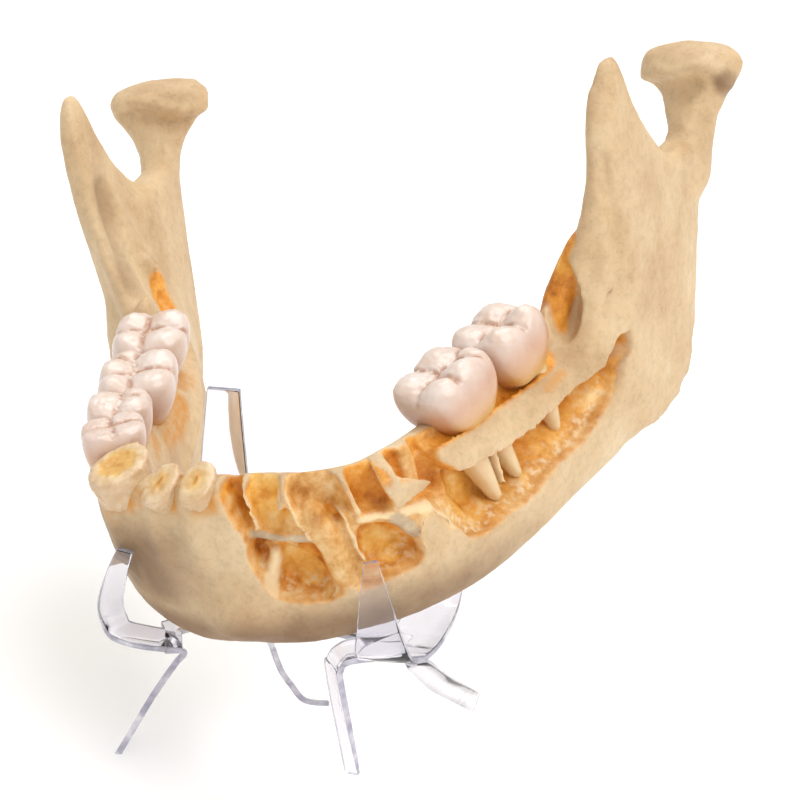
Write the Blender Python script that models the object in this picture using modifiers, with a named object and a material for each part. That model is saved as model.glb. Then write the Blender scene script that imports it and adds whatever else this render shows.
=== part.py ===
"""A human lower jaw cut open to show its sockets and roots, on a clear bent-sheet stand."""

import math

import bmesh
import bpy
from mathutils import Euler, Matrix, Vector

# Driving dimensions. The jaw and its stand are drawn in units of 0.88 mm, which makes
# the first molar, drawn 14 units long, 12.3 mm long.
unit = 0.00088
mm = 0.001
gap = 0.44                      # clearance round each tooth, in units (0.39 mm)

jawPitch = math.radians(11.0)   # the chin end sits lower than the hinge end
jawRoll = math.radians(-8.9)    # the jaw's left side sits higher than its right
chinPoint = Vector((0.0, 3.0, 5.0))
chinHeight = 24.0               # chin above the table
sheetThick = 1.0                # clear sheet of the stand, in units (0.88 mm)

voxelBone = 0.95 * mm
boneTriangles = 2500

# Arch stations from the midline back along the left side:
# heading of the outward normal, lower border centre, rim centre,
# thickness low, half way up and at the rim.
archStations = [
    (0, (0, 8.6, 4.4), (0, 7.2, 33.2), (11.0, 8.8, 8.4)),
    (18, (7.2, 9.6, 3.8), (7.2, 7.8, 33.2), (10.6, 8.8, 8.4)),
    (32, (13.4, 12.4, 3.6), (15.0, 8.8, 32.8), (10.2, 9.4, 9.2)),
    (44, (19.6, 17.2, 3.4), (20.6, 13.4, 31.8), (10.0, 10.4, 9.8)),
    (55, (25.2, 24.2, 3.2), (24.0, 21.8, 30.6), (10.2, 11.4, 10.6)),
    (64, (29.2, 32.2, 3.4), (27.0, 31.6, 29.6), (10.4, 12.8, 12.4)),
    (70, (32.2, 41.4, 3.8), (29.6, 42.0, 29.0), (10.6, 13.4, 12.8)),
    (74, (35.0, 51.0, 4.4), (32.6, 51.0, 28.0), (10.4, 13.6, 12.6)),
    (76, (38.4, 61.0, 5.0), (37.0, 60.5, 29.0), (9.4, 12.6, 11.4)),
    (80, (42.2, 71.5, 6.2), (42.4, 70.5, 33.0), (7.6, 10.4, 9.0)),
    (82, (44.4, 78.0, 9.5), (44.8, 77.5, 36.0), (6.4, 8.0, 7.5)),
]
lastStation = len(archStations) - 1

# Ramus slices: height, front edge y, rear edge y, x at front, x at rear, thickness front, rear.
ramusSlices = [
    (6.4, 68.0, 80.0, 43.0, 45.6, 6.0, 3.4),
    (9.0, 63.0, 84.6, 42.0, 46.2, 8.0, 4.6),
    (14.0, 58.0, 88.4, 40.6, 46.8, 10.0, 5.6),
    (20.0, 53.0, 91.2, 39.2, 47.3, 11.0, 6.0),
    (26.0, 52.6, 93.4, 39.4, 47.9, 10.0, 6.4),
    (31.0, 56.4, 95.4, 41.2, 48.3, 9.6, 6.4),
    (37.0, 60.4, 98.0, 43.2, 48.8, 8.8, 6.4),
    (42.0, 62.2, 101.2, 44.8, 49.4, 8.0, 6.2),
    (46.0, 63.0, 103.2, 45.6, 49.9, 7.4, 5.8),
]
coronoidSlices = [
    (42.0, 61.6, 90.0, 44.2, 49.0, 8.4, 4.6),
    (47.0, 62.4, 85.6, 45.0, 49.2, 7.8, 4.2),
    (52.5, 63.0, 80.6, 45.4, 48.8, 7.2, 3.6),
    (58.5, 64.0, 77.2, 45.9, 48.4, 6.4, 3.4),
    (63.5, 65.6, 75.4, 46.6, 48.2, 5.4, 3.2),
    (67.4, 67.8, 74.4, 47.2, 48.1, 4.2, 2.8),
    (69.6, 69.6, 73.4, 47.6, 47.9, 2.4, 2.0),
]
# Condyle slices: height, centre x, centre y, half width across, half depth.
condyleSlices = [
    (36.0, 49.0, 92.6, 3.0, 6.8),
    (42.0, 49.6, 96.2, 3.2, 5.8),
    (46.5, 50.0, 99.2, 4.0, 5.0),
    (49.8, 50.0, 101.8, 6.2, 4.6),
    (52.6, 50.0, 103.0, 8.9, 4.9),
    (55.0, 50.0, 103.4, 9.9, 5.1),
    (57.2, 50.0, 103.3, 8.4, 4.2),
    (58.3, 50.0, 103.2, 4.6, 2.2),
]
condyleTurn = math.radians(-13.0)   # the inner end of each condyle lies further back

# Inner crest slices: height, centre x, centre y, half width across, half depth.
crestSlices = [
    (22.0, 33.0, 57.0, 4.5, 5.5),
    (30.0, 35.6, 57.6, 3.6, 5.0),
    (37.0, 39.6, 60.6, 2.6, 4.2),
    (44.0, 43.0, 63.2, 2.2, 3.8),
    (52.0, 45.2, 65.6, 1.8, 3.2),
    (59.0, 46.2, 68.0, 1.2, 2.0),
]

boneColour = (0.70, 0.52, 0.33)
enamelColour = (0.78, 0.64, 0.55)
dentineColour = (0.72, 0.47, 0.20)
clearColour = (0.86, 0.88, 0.90)


# Scene preparation.
for oldObject in list(bpy.data.objects):
    bpy.data.objects.remove(oldObject, do_unlink=True)
jawCollection = bpy.data.collections.new("human_mandible")
bpy.context.scene.collection.children.link(jawCollection)
cutterCollection = bpy.data.collections.new("cutters")
bpy.context.scene.collection.children.link(cutterCollection)


def makeMaterial(name, colour, roughness, metallic=0.0):
    material = bpy.data.materials.new(name)
    material.use_nodes = True
    shader = material.node_tree.nodes["Principled BSDF"]
    shader.inputs["Base Color"].default_value = (*colour, 1.0)
    shader.inputs["Roughness"].default_value = roughness
    shader.inputs["Metallic"].default_value = metallic
    material.diffuse_color = (*colour, 1.0)
    return material


def jawMatrix():
    """Turns the drawing of the jaw into its place on the stand."""
    turn = Euler((jawPitch, jawRoll, 0.0), "XYZ").to_matrix().to_4x4()
    lift = Matrix.Translation(Vector((0.0, 0.0, chinHeight)) * unit)
    return lift @ turn @ Matrix.Translation(-chinPoint * unit)


def linkObject(name, mesh, collection, matrix=None):
    item = bpy.data.objects.new(name, mesh)
    collection.objects.link(item)
    if matrix is not None:
        item.matrix_world = matrix
    return item


def loftMesh(name, rings, closeTop=None):
    """Skins closed rings of equal length; closeTop is a single point above the last ring."""
    count = len(rings[0])
    mesh = bpy.data.meshes.new(name)
    shape = bmesh.new()
    rows = [[shape.verts.new(Vector(p) * unit) for p in ring] for ring in rings]
    for lower, upper in zip(rows, rows[1:]):
        for i in range(count):
            j = (i + 1) % count
            shape.faces.new((lower[i], lower[j], upper[j], upper[i]))
    shape.faces.new(list(reversed(rows[0])))
    if closeTop is None:
        shape.faces.new(rows[-1])
    else:
        tip = shape.verts.new(Vector(closeTop) * unit)
        for i in range(count):
            shape.faces.new((rows[-1][i], rows[-1][(i + 1) % count], tip))
    bmesh.ops.triangulate(shape, faces=shape.faces)
    bmesh.ops.recalc_face_normals(shape, faces=shape.faces)
    shape.to_mesh(mesh)
    shape.free()
    return mesh


def blend(a, b, t):
    return a + (b - a) * t


def signedPower(value, power):
    return math.copysign(abs(value) ** power, value)


def stationValues(s):
    """Smoothly interpolated arch station; negative s is the right side."""
    side = 1.0 if s >= 0 else -1.0
    s = min(abs(s), lastStation)
    low = min(int(s), lastStation - 1)
    t = s - low

    def flat(index):
        if index < 0:
            heading, base, rim, thick = archStations[-index]
            return [-heading, -base[0], *base[1:], -rim[0], *rim[1:], *thick]
        heading, base, rim, thick = archStations[min(index, lastStation)]
        return [heading, *base, *rim, *thick]

    p = [flat(low + k) for k in (-1, 0, 1, 2)]
    values = []
    for a, b, c, d in zip(*p):
        values.append(0.5 * (2 * b + (c - a) * t + (2 * a - 5 * b + 4 * c - d) * t ** 2
                             + (3 * b - a - 3 * c + d) * t ** 3))
    return values, side


def archPoint(s, z, offset):
    """Point at station s and height z; offset 1 is the outer face, -1 the inner face."""
    values, side = stationValues(s)
    heading = math.radians(values[0])
    base, rim = Vector(values[1:4]), Vector(values[4:7])
    low, middle, top = values[7:10]
    f = (z - base.z) / (rim.z - base.z)
    g = min(max(f, 0.0), 1.0)
    half = 0.5 * (low * (1 - g) * (1 - 2 * g) + 4 * middle * g * (1 - g) + top * g * (2 * g - 1))
    point = base + (rim - base) * f
    point += Vector((math.sin(heading), -math.cos(heading), 0.0)) * half * offset
    point.x *= side
    return point


def archRing(s, count=24):
    values, _ = stationValues(s)
    lowZ, topZ = values[3], values[6]
    ring = []
    for i in range(count):
        angle = 2 * math.pi * i / count
        across = signedPower(math.cos(angle), 0.66)
        up = signedPower(math.sin(angle), 0.66)
        ring.append(archPoint(s, blend(lowZ, topZ, 0.5 + 0.5 * up), across))
    return ring


def sliceRing(z, frontY, rearY, frontX, rearX, frontThick, rearThick, side, count=24):
    """Level slice of the flat ramus: rounded ends, thicker to the front."""
    ring = []
    for i in range(count):
        angle = 2 * math.pi * i / count
        along = signedPower(math.cos(angle), 0.7)
        f = 0.5 + 0.5 * along
        half = 0.5 * blend(frontThick, rearThick, f)
        x = blend(frontX, rearX, f) + half * signedPower(math.sin(angle), 0.7)
        ring.append((x * side, blend(frontY, rearY, f), z))
    return ring


def condyleRing(z, x, y, halfAcross, halfDeep, side, count=24):
    ring = []
    for i in range(count):
        angle = 2 * math.pi * i / count
        a = halfAcross * math.cos(angle)
        d = halfDeep * math.sin(angle)
        ring.append(((x + a * math.cos(condyleTurn) - d * math.sin(condyleTurn)) * side,
                     y + a * math.sin(condyleTurn) + d * math.cos(condyleTurn), z))
    return ring


def blobMesh(name, centre, size, segments=20):
    """Ellipsoid of the given half sizes, used to swell the bone."""
    mesh = bpy.data.meshes.new(name)
    shape = bmesh.new()
    scale = Matrix.Diagonal((*(Vector(size) * unit), 1.0))
    place = Matrix.Translation(Vector(centre) * unit) @ scale
    bmesh.ops.create_uvsphere(shape, u_segments=segments, v_segments=12, radius=1.0, matrix=place)
    shape.to_mesh(mesh)
    shape.free()
    return mesh


def joinMeshes(name, meshes):
    shape = bmesh.new()
    for mesh in meshes:
        shape.from_mesh(mesh)
        bpy.data.meshes.remove(mesh)
    joined = bpy.data.meshes.new(name)
    shape.to_mesh(joined)
    shape.free()
    return joined


def bakeModifiers(item):
    """Replaces the mesh by what its modifiers make of it."""
    depsgraph = bpy.context.evaluated_depsgraph_get()
    baked = bpy.data.meshes.new_from_object(item.evaluated_get(depsgraph))
    item.modifiers.clear()
    item.data = baked


def addBoolean(item, cutter, operation="DIFFERENCE"):
    modifier = item.modifiers.new(cutter.name, "BOOLEAN")
    modifier.operation = operation
    modifier.solver = "EXACT"
    modifier.object = cutter
    cutter.hide_render = True
    cutter.display_type = "WIRE"


def shadeSmooth(item, angle):
    item.data.shade_smooth()
    item.data.set_sharp_from_angle(angle=math.radians(angle))


# Materials.
boneMaterial = makeMaterial("bone", boneColour, 0.55)
enamelMaterial = makeMaterial("enamel", enamelColour, 0.25)
dentineMaterial = makeMaterial("dentine", dentineColour, 0.45)
clearMaterial = makeMaterial("clear_sheet", clearColour, 0.08)

place = jawMatrix()


# The bone: arch, two rami, two coronoid tips and two condyles grown into one.
bonePieces = []
archSteps = 60
archRings = [archRing(blend(-lastStation, lastStation, i / archSteps))
             for i in range(archSteps + 1)]
bonePieces.append(loftMesh("arch", archRings))
for side in (-1.0, 1.0):
    bonePieces.append(loftMesh("ramus", [sliceRing(*s, side) for s in ramusSlices]))
    bonePieces.append(loftMesh("coronoid", [sliceRing(*s, side) for s in coronoidSlices]))
    bonePieces.append(loftMesh("condyle", [condyleRing(*s, side) for s in condyleSlices]))
    # the bulge over the canine root
    bonePieces.append(blobMesh("canine bulge", (18.6 * side, 11.6, 21.0), (4.6, 4.4, 9.0)))
bonePieces.append(blobMesh("chin", (0.0, 7.0, 10.5), (8.0, 5.4, 5.0)))
for side in (-1.0, 1.0):
    # the crest on the inner face, from behind the last molar up towards the coronoid tip
    crestRings = [condyleRing(z, x, y, across, deep, side) for z, x, y, across, deep in crestSlices]
    bonePieces.append(loftMesh("crest", crestRings))
mandible = linkObject("mandible", joinMeshes("mandible", bonePieces), jawCollection, place)
mandible.data.materials.append(boneMaterial)
fuse = mandible.modifiers.new("fuse", "REMESH")
fuse.mode = "VOXEL"
fuse.voxel_size = voxelBone
relax = mandible.modifiers.new("relax", "SMOOTH")
relax.factor = 0.6
relax.iterations = 8
bakeModifiers(mandible)
thin = mandible.modifiers.new("thin", "DECIMATE")
thin.ratio = boneTriangles / (2.0 * len(mandible.data.polygons))
bakeModifiers(mandible)


def flatPrism(name, outline, outer, inner, shrink=0.82):
    """Cutter whose outline is given along the arch; sides run in through the cheek face."""
    centreS = sum(p[0] for p in outline) / len(outline)
    centreZ = sum(p[1] for p in outline) / len(outline)
    outerRing = [archPoint(s, z, outer) for s, z in outline]
    innerRing = [archPoint(blend(centreS, s, shrink), blend(centreZ, z, shrink), inner)
                 for s, z in outline]
    return linkObject(name, loftMesh(name, [innerRing, outerRing]), cutterCollection, place)


def socketCutter(name, levels, count=12):
    """Root-shaped hollow; each level gives s, z, offset and half widths along and across."""
    rings = []
    for s, z, offset, halfAlong, halfAcross in levels:
        values, side = stationValues(s)
        heading = math.radians(values[0])
        normal = Vector((math.sin(heading) * side, -math.cos(heading), 0.0))
        along = Vector((math.cos(heading) * side, math.sin(heading), 0.0))
        centre = archPoint(s, z, offset)
        turns = [2 * math.pi * i / count for i in range(count)]
        rings.append([centre + along * (halfAlong * signedPower(math.cos(turn), 0.7))
                      + normal * (halfAcross * signedPower(math.sin(turn), 0.7))
                      for turn in turns])
    return linkObject(name, loftMesh(name, rings), cutterCollection, place)


# Windows cut through the cheek face of the left side, outlines as (station, height).
frontWindow = [(0.56, 25.0), (0.54, 21.5), (0.56, 18.4), (0.60, 16.0), (0.74, 13.9), (1.10, 12.9),
               (1.62, 12.9), (1.90, 15.0), (1.86, 18.4), (1.72, 21.4), (1.50, 23.4), (1.10, 24.3),
               (0.76, 25.4)]
middleWindow = [(2.64, 22.6), (2.46, 18.5), (2.36, 14.6), (2.82, 13.7), (3.10, 13.3), (3.44, 13.1),
                (3.52, 16.0), (3.38, 18.6), (3.20, 20.4), (2.94, 21.8)]
molarWindow = [(4.34, 24.4), (4.24, 19.6), (4.24, 15.8), (4.36, 13.0), (4.70, 11.8), (5.19, 11.8),
               (5.98, 11.4), (6.63, 12.4), (7.17, 12.6), (7.55, 14.0), (7.88, 16.0), (8.06, 17.7),
               (8.16, 20.3), (8.30, 22.2), (8.54, 23.0), (8.50, 24.6), (8.32, 25.4), (8.00, 23.6),
               (7.60, 22.3), (7.08, 21.2), (6.61, 20.9), (6.00, 21.4), (5.60, 21.5), (5.10, 22.0),
               (4.80, 22.7), (4.56, 23.8)]
neckWindow = [(4.30, 26.6), (4.62, 27.6), (5.30, 26.6), (6.04, 26.9), (6.80, 26.4), (7.20, 27.2),
              (7.56, 29.0), (7.70, 36.0), (4.20, 36.0)]
tipWindow = [(3.96, 24.2), (4.10, 22.4), (4.42, 22.8), (4.50, 24.2), (4.36, 26.0), (4.56, 28.2),
             (4.40, 36.0), (3.90, 36.0)]
windowCutters = [
    flatPrism("front_window", frontWindow, 1.7, -0.30),
    flatPrism("middle_window", middleWindow, 1.7, -0.30),
    flatPrism("molar_window", molarWindow, 1.7, -0.35, 0.9),
    flatPrism("neck_window", neckWindow, 1.9, 0.45, 0.96),
    flatPrism("tip_window", tipWindow, 1.9, 0.1, 0.9),
]

# Empty sockets of the left side: station, height, offset, half width along and across.
emptySockets = {
    "first_incisor_socket": [(0.50, 24.2, 0.40, 0.9, 1.4), (0.44, 26.0, 0.60, 1.9, 3.8),
                             (0.32, 29.0, 0.60, 2.1, 4.8), (0.10, 36.0, 0.50, 2.2, 5.4)],
    "second_incisor_socket": [(1.02, 26.4, 0.30, 0.9, 1.4), (1.00, 27.6, 0.70, 2.2, 4.4),
                              (0.95, 30.0, 0.70, 2.4, 5.0), (0.82, 36.0, 0.60, 2.5, 5.6)],
    "canine_socket": [(2.06, 15.0, 0.10, 0.9, 0.9), (2.04, 18.0, 0.15, 1.8, 2.0),
                      (2.00, 22.0, 0.20, 2.4, 2.8), (1.98, 24.0, 0.50, 2.9, 4.6),
                      (1.90, 28.0, 0.60, 3.2, 5.6), (1.70, 36.0, 0.50, 3.4, 6.4)],
    "first_premolar_socket": [(3.08, 20.6, 0.20, 1.2, 1.6), (3.04, 22.4, 0.50, 3.0, 4.4),
                              (2.96, 26.0, 0.60, 3.4, 5.8), (2.74, 36.0, 0.50, 3.7, 6.4)],
    "second_premolar_socket": [(4.06, 20.6, 0.10, 1.2, 1.6), (4.02, 22.6, 0.40, 2.8, 3.8),
                               (3.92, 26.0, 0.50, 3.3, 5.4), (3.72, 36.0, 0.45, 3.6, 6.2)],
}
socketCutters = [socketCutter(name, levels) for name, levels in emptySockets.items()]


def ovalRing(x, y, z, halfX, halfY, power, count, lift=None):
    """Rounded-square ring; lift adds height as a function of the angle."""
    ring = []
    for i in range(count):
        angle = 2 * math.pi * i / count
        px = x + halfX * signedPower(math.cos(angle), power)
        py = y + halfY * signedPower(math.sin(angle), power)
        ring.append((px, py, z if lift is None else z + lift(angle)))
    return ring


def crownRings(shape, grow):
    """Rings from the neck to the biting surface; x runs along the arch, y to the cheek."""
    halfX, halfY = 0.5 * shape["long"], 0.5 * shape["wide"]
    high, cusps, power = shape["high"], shape["cusps"], shape["square"]
    count = shape["count"]

    def cuspLift(angle):
        if cusps == 4:
            return 0.75 * abs(math.sin(2 * angle)) ** 0.8
        if cusps == 2:
            return 1.5 * math.sin(angle) if math.sin(angle) > 0 else 0.4 * abs(math.sin(angle))
        return 0.0

    profile = [(-2.2 - grow, 0.66), (0.0, 0.80), (0.34 * high, 0.97)]
    profile += [(1.2 * high, 1.03)] if grow > 0.0 else [(0.58 * high, 1.0), (0.84 * high, 0.90)]
    rings = [ovalRing(0.0, 0.0, z, halfX * f + grow, halfY * f + grow, power, count)
             for z, f in profile]
    if grow > 0.0:
        return rings, (0.0, 0.0, 1.25 * high)
    rings.append(ovalRing(0.0, 0.0, high - 0.5, halfX * 0.68, halfY * 0.68, power, count, cuspLift))
    rings.append(ovalRing(0.0, 0.0, high - 1.1, halfX * 0.34, halfY * 0.34, power, count,
                          lambda angle: 0.5 * cuspLift(angle)))
    return rings, (0.0, 0.0, high - 1.9)


def stumpRings(shape, grow):
    """Crown broken or cut off short, with a tilted flat face."""
    halfX, halfY = 0.5 * shape["long"], 0.5 * shape["wide"]
    high, power, count = shape["high"], shape["square"], shape["count"]
    rings = [ovalRing(0.0, 0.0, z, halfX * f + grow, halfY * f + grow, power, count)
             for z, f in ((-2.2 - grow, 0.78), (0.0, 0.90), (0.5 * high, 1.0))]
    if grow > 0.0:
        rings.append(ovalRing(0.0, 0.0, 2.2 * high, halfX + grow, halfY + grow, power, count))
        return rings, (0.0, 0.0, 2.3 * high)
    slopeX, slopeY = shape["slope"]
    rings.append(ovalRing(0.0, 0.0, high, halfX * 0.96, halfY * 0.96, power, count,
                          lambda angle: slopeX * math.cos(angle) + slopeY * math.sin(angle)))
    rings.append(ovalRing(0.0, 0.0, high + 0.15, halfX * 0.7, halfY * 0.7, power, count,
                          lambda angle: 0.7 * (slopeX * math.cos(angle)
                                               + slopeY * math.sin(angle))))
    return rings, (0.0, 0.0, high - 0.1)


def rootRings(root, grow, flip):
    """Tapering root; each root gives its place, half widths, length and the drift of its tip."""
    x, y, halfX, halfY, length, driftX, driftY = root
    rings = []
    for f, size in ((0.0, 1.0), (0.45, 0.88), (0.88, 0.46)):
        rings.append(ovalRing((x + driftX * f * f) * flip, y + driftY * f,
                              -0.6 + grow - (length + 3.0 * grow) * f,
                              halfX * size + grow, halfY * size + grow, 0.9, 8))
    tip = ((x + driftX) * flip, y + driftY, -0.6 - length - 2.0 * grow)
    return rings, tip


def toothFrame(spec):
    """Stands a tooth in the arch: y points to the cheek, lean tips the crown to the tongue."""
    x, y, z = spec["at"]
    side = 1.0 if x > 0 else -1.0
    heading = math.radians(spec["heading"])
    cheek = Vector((math.sin(heading) * side, -math.cos(heading), 0.0))
    up = Vector((0.0, 0.0, 1.0))
    base = Matrix((cheek.cross(up), cheek, up)).transposed()
    lean = Matrix.Rotation(math.radians(spec["lean"]), 3, "X")
    return Matrix.Translation(Vector((x, y, z)) * unit) @ (base @ lean).to_4x4()


# Tooth shapes: size along the arch, across it and above the neck, then each root as its place
# towards the back, place towards the cheek, half widths, length and drift of the tip.
firstMolar = dict(long=14.0, wide=12.8, high=9.2, cusps=4, square=0.72, count=14,
                  roots=[(-2.8, 0.2, 2.2, 4.4, 15.0, 1.0, 0.8), (2.8, 0.2, 2.1, 4.1, 13.5, 1.0, 0.6)])
secondMolar = dict(long=13.0, wide=12.2, high=8.8, cusps=4, square=0.72, count=14,
                   roots=[(-2.6, 0.2, 2.1, 4.2, 10.5, 0.8, 0.8), (2.6, 0.2, 2.0, 3.9, 10.0, 0.8, 0.6)])
secondPremolar = dict(long=8.4, wide=10.2, high=8.8, cusps=2, square=0.84, count=12,
                      roots=[(0.0, 0.0, 2.6, 3.4, 14.0, 1.0, 0.0)])
firstPremolar = dict(long=8.4, wide=9.6, high=8.6, cusps=2, square=0.84, count=12,
                     roots=[(0.0, 0.0, 2.5, 3.2, 14.0, 1.0, 0.0)])
brokenCanine = dict(long=8.0, wide=9.4, high=4.0, square=0.9, count=12, slope=(0.3, -1.1),
                    roots=[(0.0, -0.4, 2.6, 3.4, 15.5, 0.6, -1.6)])
lateralStump = dict(long=5.6, wide=6.6, high=2.0, square=0.92, count=10, slope=(0.1, -0.9),
                    roots=[(0.0, 0.0, 1.9, 2.4, 12.0, 0.4, -0.8)])
centralStump = dict(long=5.0, wide=6.2, high=2.0, square=0.92, count=10, slope=(0.1, -0.9),
                    roots=[(0.0, 0.0, 1.7, 2.2, 11.5, 0.2, -0.8)])

toothPlaces = {
    "right_second_molar": dict(shape=secondMolar, at=(-32.2, 48.8, 28.4), heading=73, lean=8),
    "right_first_molar": dict(shape=firstMolar, at=(-27.8, 35.6, 29.0), heading=70, lean=8),
    "right_second_premolar": dict(shape=secondPremolar, at=(-25.2, 24.2, 29.6), heading=66, lean=4),
    "right_first_premolar": dict(shape=firstPremolar, at=(-21.5, 16.2, 30.2), heading=58, lean=2),
    "right_canine": dict(shape=brokenCanine, at=(-17.0, 9.0, 30.8), heading=46, lean=0),
    "right_lateral_incisor_root": dict(shape=lateralStump, at=(-9.6, 7.7, 31.6), heading=24, lean=0),
    "right_central_incisor_root": dict(shape=centralStump, at=(-3.6, 6.9, 31.8), heading=8, lean=0),
    "left_first_molar": dict(shape=firstMolar, at=(27.0, 34.2, 29.0), heading=70, lean=8),
    "left_second_molar": dict(shape=secondMolar, at=(31.6, 47.3, 28.4), heading=73, lean=8),
}


def buildTooth(name, spec):
    """Makes the tooth as one piece and the clearance hollow it stands in."""
    shape = spec["shape"]
    flip = -1.0 if spec["at"][0] > 0 else 1.0
    material = enamelMaterial if "cusps" in shape else dentineMaterial
    frame = place @ toothFrame(spec)
    profile = crownRings if "cusps" in shape else stumpRings
    tooth = linkObject(name, loftMesh(name, *profile(shape, 0.0)), jawCollection, frame)
    tooth.data.materials.append(material)
    hollow = linkObject(name + "_hollow", loftMesh(name + "_hollow", *profile(shape, gap)),
                        cutterCollection, frame)
    for number, root in enumerate(shape["roots"], 1):
        rootName = f"{name}_root_{number}"
        piece = linkObject(rootName, loftMesh(rootName, *rootRings(root, 0.0, flip)),
                           cutterCollection, frame)
        addBoolean(tooth, piece, "UNION")
        well = linkObject(rootName + "_well", loftMesh(rootName + "_well",
                                                       *rootRings(root, gap, flip)),
                          cutterCollection, frame)
        addBoolean(hollow, well, "UNION")
    addBoolean(mandible, hollow)
    return tooth


# Hollows left by the teeth still growing behind the last molars: centre and half sizes.
growthHollows = {
    "left_growth_hollow": ((38.6, 56.6, 36.0), (2.8, 5.6, 7.4)),
    "right_growth_hollow": ((-36.4, 57.4, 35.0), (1.6, 3.2, 4.2)),
}
hollowCutters = [linkObject(name, blobMesh(name, centre, size, 14), cutterCollection, place)
                 for name, (centre, size) in growthHollows.items()]
for cutter in windowCutters + socketCutters + hollowCutters:
    addBoolean(mandible, cutter)
teeth = [buildTooth(name, spec) for name, spec in toothPlaces.items()]
shadeSmooth(mandible, 50)
for tooth in teeth:
    shadeSmooth(tooth, 50)


# The stand is one clear sheet cut into strips and bent. Each strip is given by pairs of
# points on its two edges, measured from the table under the chin.
cradleStrip = [
    ((18.1, 1.4, 41.3), (19.9, 2.2, 41.7)),
    ((17.6, 1.2, 37.0), (21.4, 2.6, 36.7)),
    ((17.1, 1.2, 31.2), (22.9, 2.6, 32.2)),
    ((16.0, 2.8, 26.3), (23.5, 4.2, 28.0)),
    ((15.4, 5.6, 23.8), (24.0, 6.6, 24.4)),
    ((15.6, 10.0, 23.1), (24.7, 11.4, 23.3)),
    ((16.2, 18.0, 23.7), (24.9, 17.6, 24.2)),
    ((15.8, 26.0, 26.2), (23.2, 27.5, 25.6)),
    ((14.6, 30.0, 32.5), (21.2, 34.5, 32.0)),
    ((14.8, 32.0, 40.5), (18.0, 34.6, 40.5)),
]
frontLeg = [
    ((17.5, 6.4, 23.5), (14.5, 12.0, 23.5)),
    ((15.3, 4.8, 23.5), (11.9, 11.0, 23.5)),
    ((13.9, 4.2, 23.0), (10.3, 9.1, 23.0)),
    ((12.5, 5.5, 21.0), (8.9, 9.2, 21.0)),
    ((12.1, 6.6, 17.9), (8.6, 9.5, 18.3)),
    ((12.2, 12.8, 0.0), (10.1, 12.6, 0.0)),
    ((12.2, 13.3, -1.3), (10.0, 13.1, -1.3)),
]
sideLeg = [
    ((22.1, 7.4, 23.3), (24.5, 9.6, 23.3)),
    ((22.2, 9.0, 21.6), (24.7, 11.8, 21.8)),
    ((21.9, 17.6, 14.5), (23.9, 21.5, 15.0)),
    ((21.1, 28.7, 7.2), (22.5, 31.6, 8.8)),
    ((20.3, 40.0, -0.2), (21.4, 40.3, 3.4)),
]
leftProng = [
    ((-21.2, -1.4, 38.2), (-18.6, -1.2, 37.9)),
    ((-23.9, -0.4, 33.2), (-20.8, 0.6, 32.7)),
    ((-26.4, 1.2, 27.1), (-23.5, 4.0, 27.0)),
    ((-26.5, 2.4, 23.1), (-25.1, 7.6, 22.8)),
    ((-25.5, 3.5, 20.4), (-25.4, 9.6, 20.4)),
    ((-20.4, 3.2, 19.9), (-22.0, 10.1, 19.9)),
    ((-13.9, 4.9, 19.7), (-17.0, 10.7, 19.7)),
]
leftLeg = [
    ((-16.3, 3.9, 19.7), (-19.6, 10.4, 19.7)),
    ((-13.9, 5.2, 19.4), (-16.4, 10.0, 16.8)),
    ((-15.7, 5.9, 16.9), (-18.2, 10.7, 14.3)),
    ((-18.4, 6.5, 13.0), (-20.9, 11.3, 10.4)),
    ((-20.8, 5.8, 8.9), (-23.3, 10.5, 6.2)),
    ((-25.0, 4.2, 0.9), (-27.6, 8.9, -1.8)),
    ((-25.7, 4.0, -0.2), (-28.3, 8.7, -3.0)),
]
backLeg = [
    ((-6.5, 17.5, 19.2), (-6.5, 23.0, 19.2)),
    ((-6.2, 20.5, 15.2), (-8.0, 24.2, 13.2)),
    ((-6.8, 25.0, 8.9), (-8.6, 28.7, 6.9)),
    ((-6.9, 29.0, 4.4), (-8.7, 32.7, 2.3)),
    ((-4.6, 29.3, 1.9), (-6.3, 33.0, -0.1)),
    ((-0.5, 29.8, 1.9), (-2.2, 33.5, -0.1)),
]
backArm = [
    ((-8.6, 5.0, 63.6), (-3.5, 5.6, 63.7)),
    ((-10.1, 6.6, 56.7), (-3.8, 7.0, 57.3)),
    ((-11.7, 8.4, 49.5), (-4.2, 8.8, 50.5)),
    ((-13.6, 11.4, 40.8), (-4.9, 11.4, 42.1)),
    ((-15.6, 15.4, 31.3), (-6.2, 15.4, 32.7)),
    ((-16.3, 18.6, 23.9), (-6.8, 18.6, 25.2)),
    ((-15.5, 22.5, 20.4), (-6.5, 22.5, 20.4)),
    ((-14.5, 25.5, 19.5), (-6.0, 25.5, 19.5)),
]
crossBar = [
    ((-18.5, 8.6, 19.8), (-21.5, 12.2, 19.8)),
    ((-12.5, 17.5, 19.6), (-15.0, 23.0, 19.6)),
    ((-4.0, 20.5, 19.4), (-5.0, 27.0, 19.4)),
    ((6.0, 17.5, 20.8), (7.0, 23.0, 20.8)),
    ((15.8, 11.5, 23.1), (17.0, 17.0, 23.3)),
    ((20.0, 11.0, 23.2), (20.0, 16.0, 23.4)),
]
rearLeg = [
    ((-10.0, 21.5, 19.3), (-4.0, 21.5, 19.3)),
    ((-11.5, 29.0, 18.2), (-6.0, 29.0, 18.2)),
    ((-14.0, 40.0, 12.8), (-9.4, 40.0, 12.8)),
    ((-20.6, 67.0, 0.0), (-17.0, 67.0, 0.0)),
    ((-21.3, 70.0, -1.4), (-17.7, 70.0, -1.4)),
]


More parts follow.
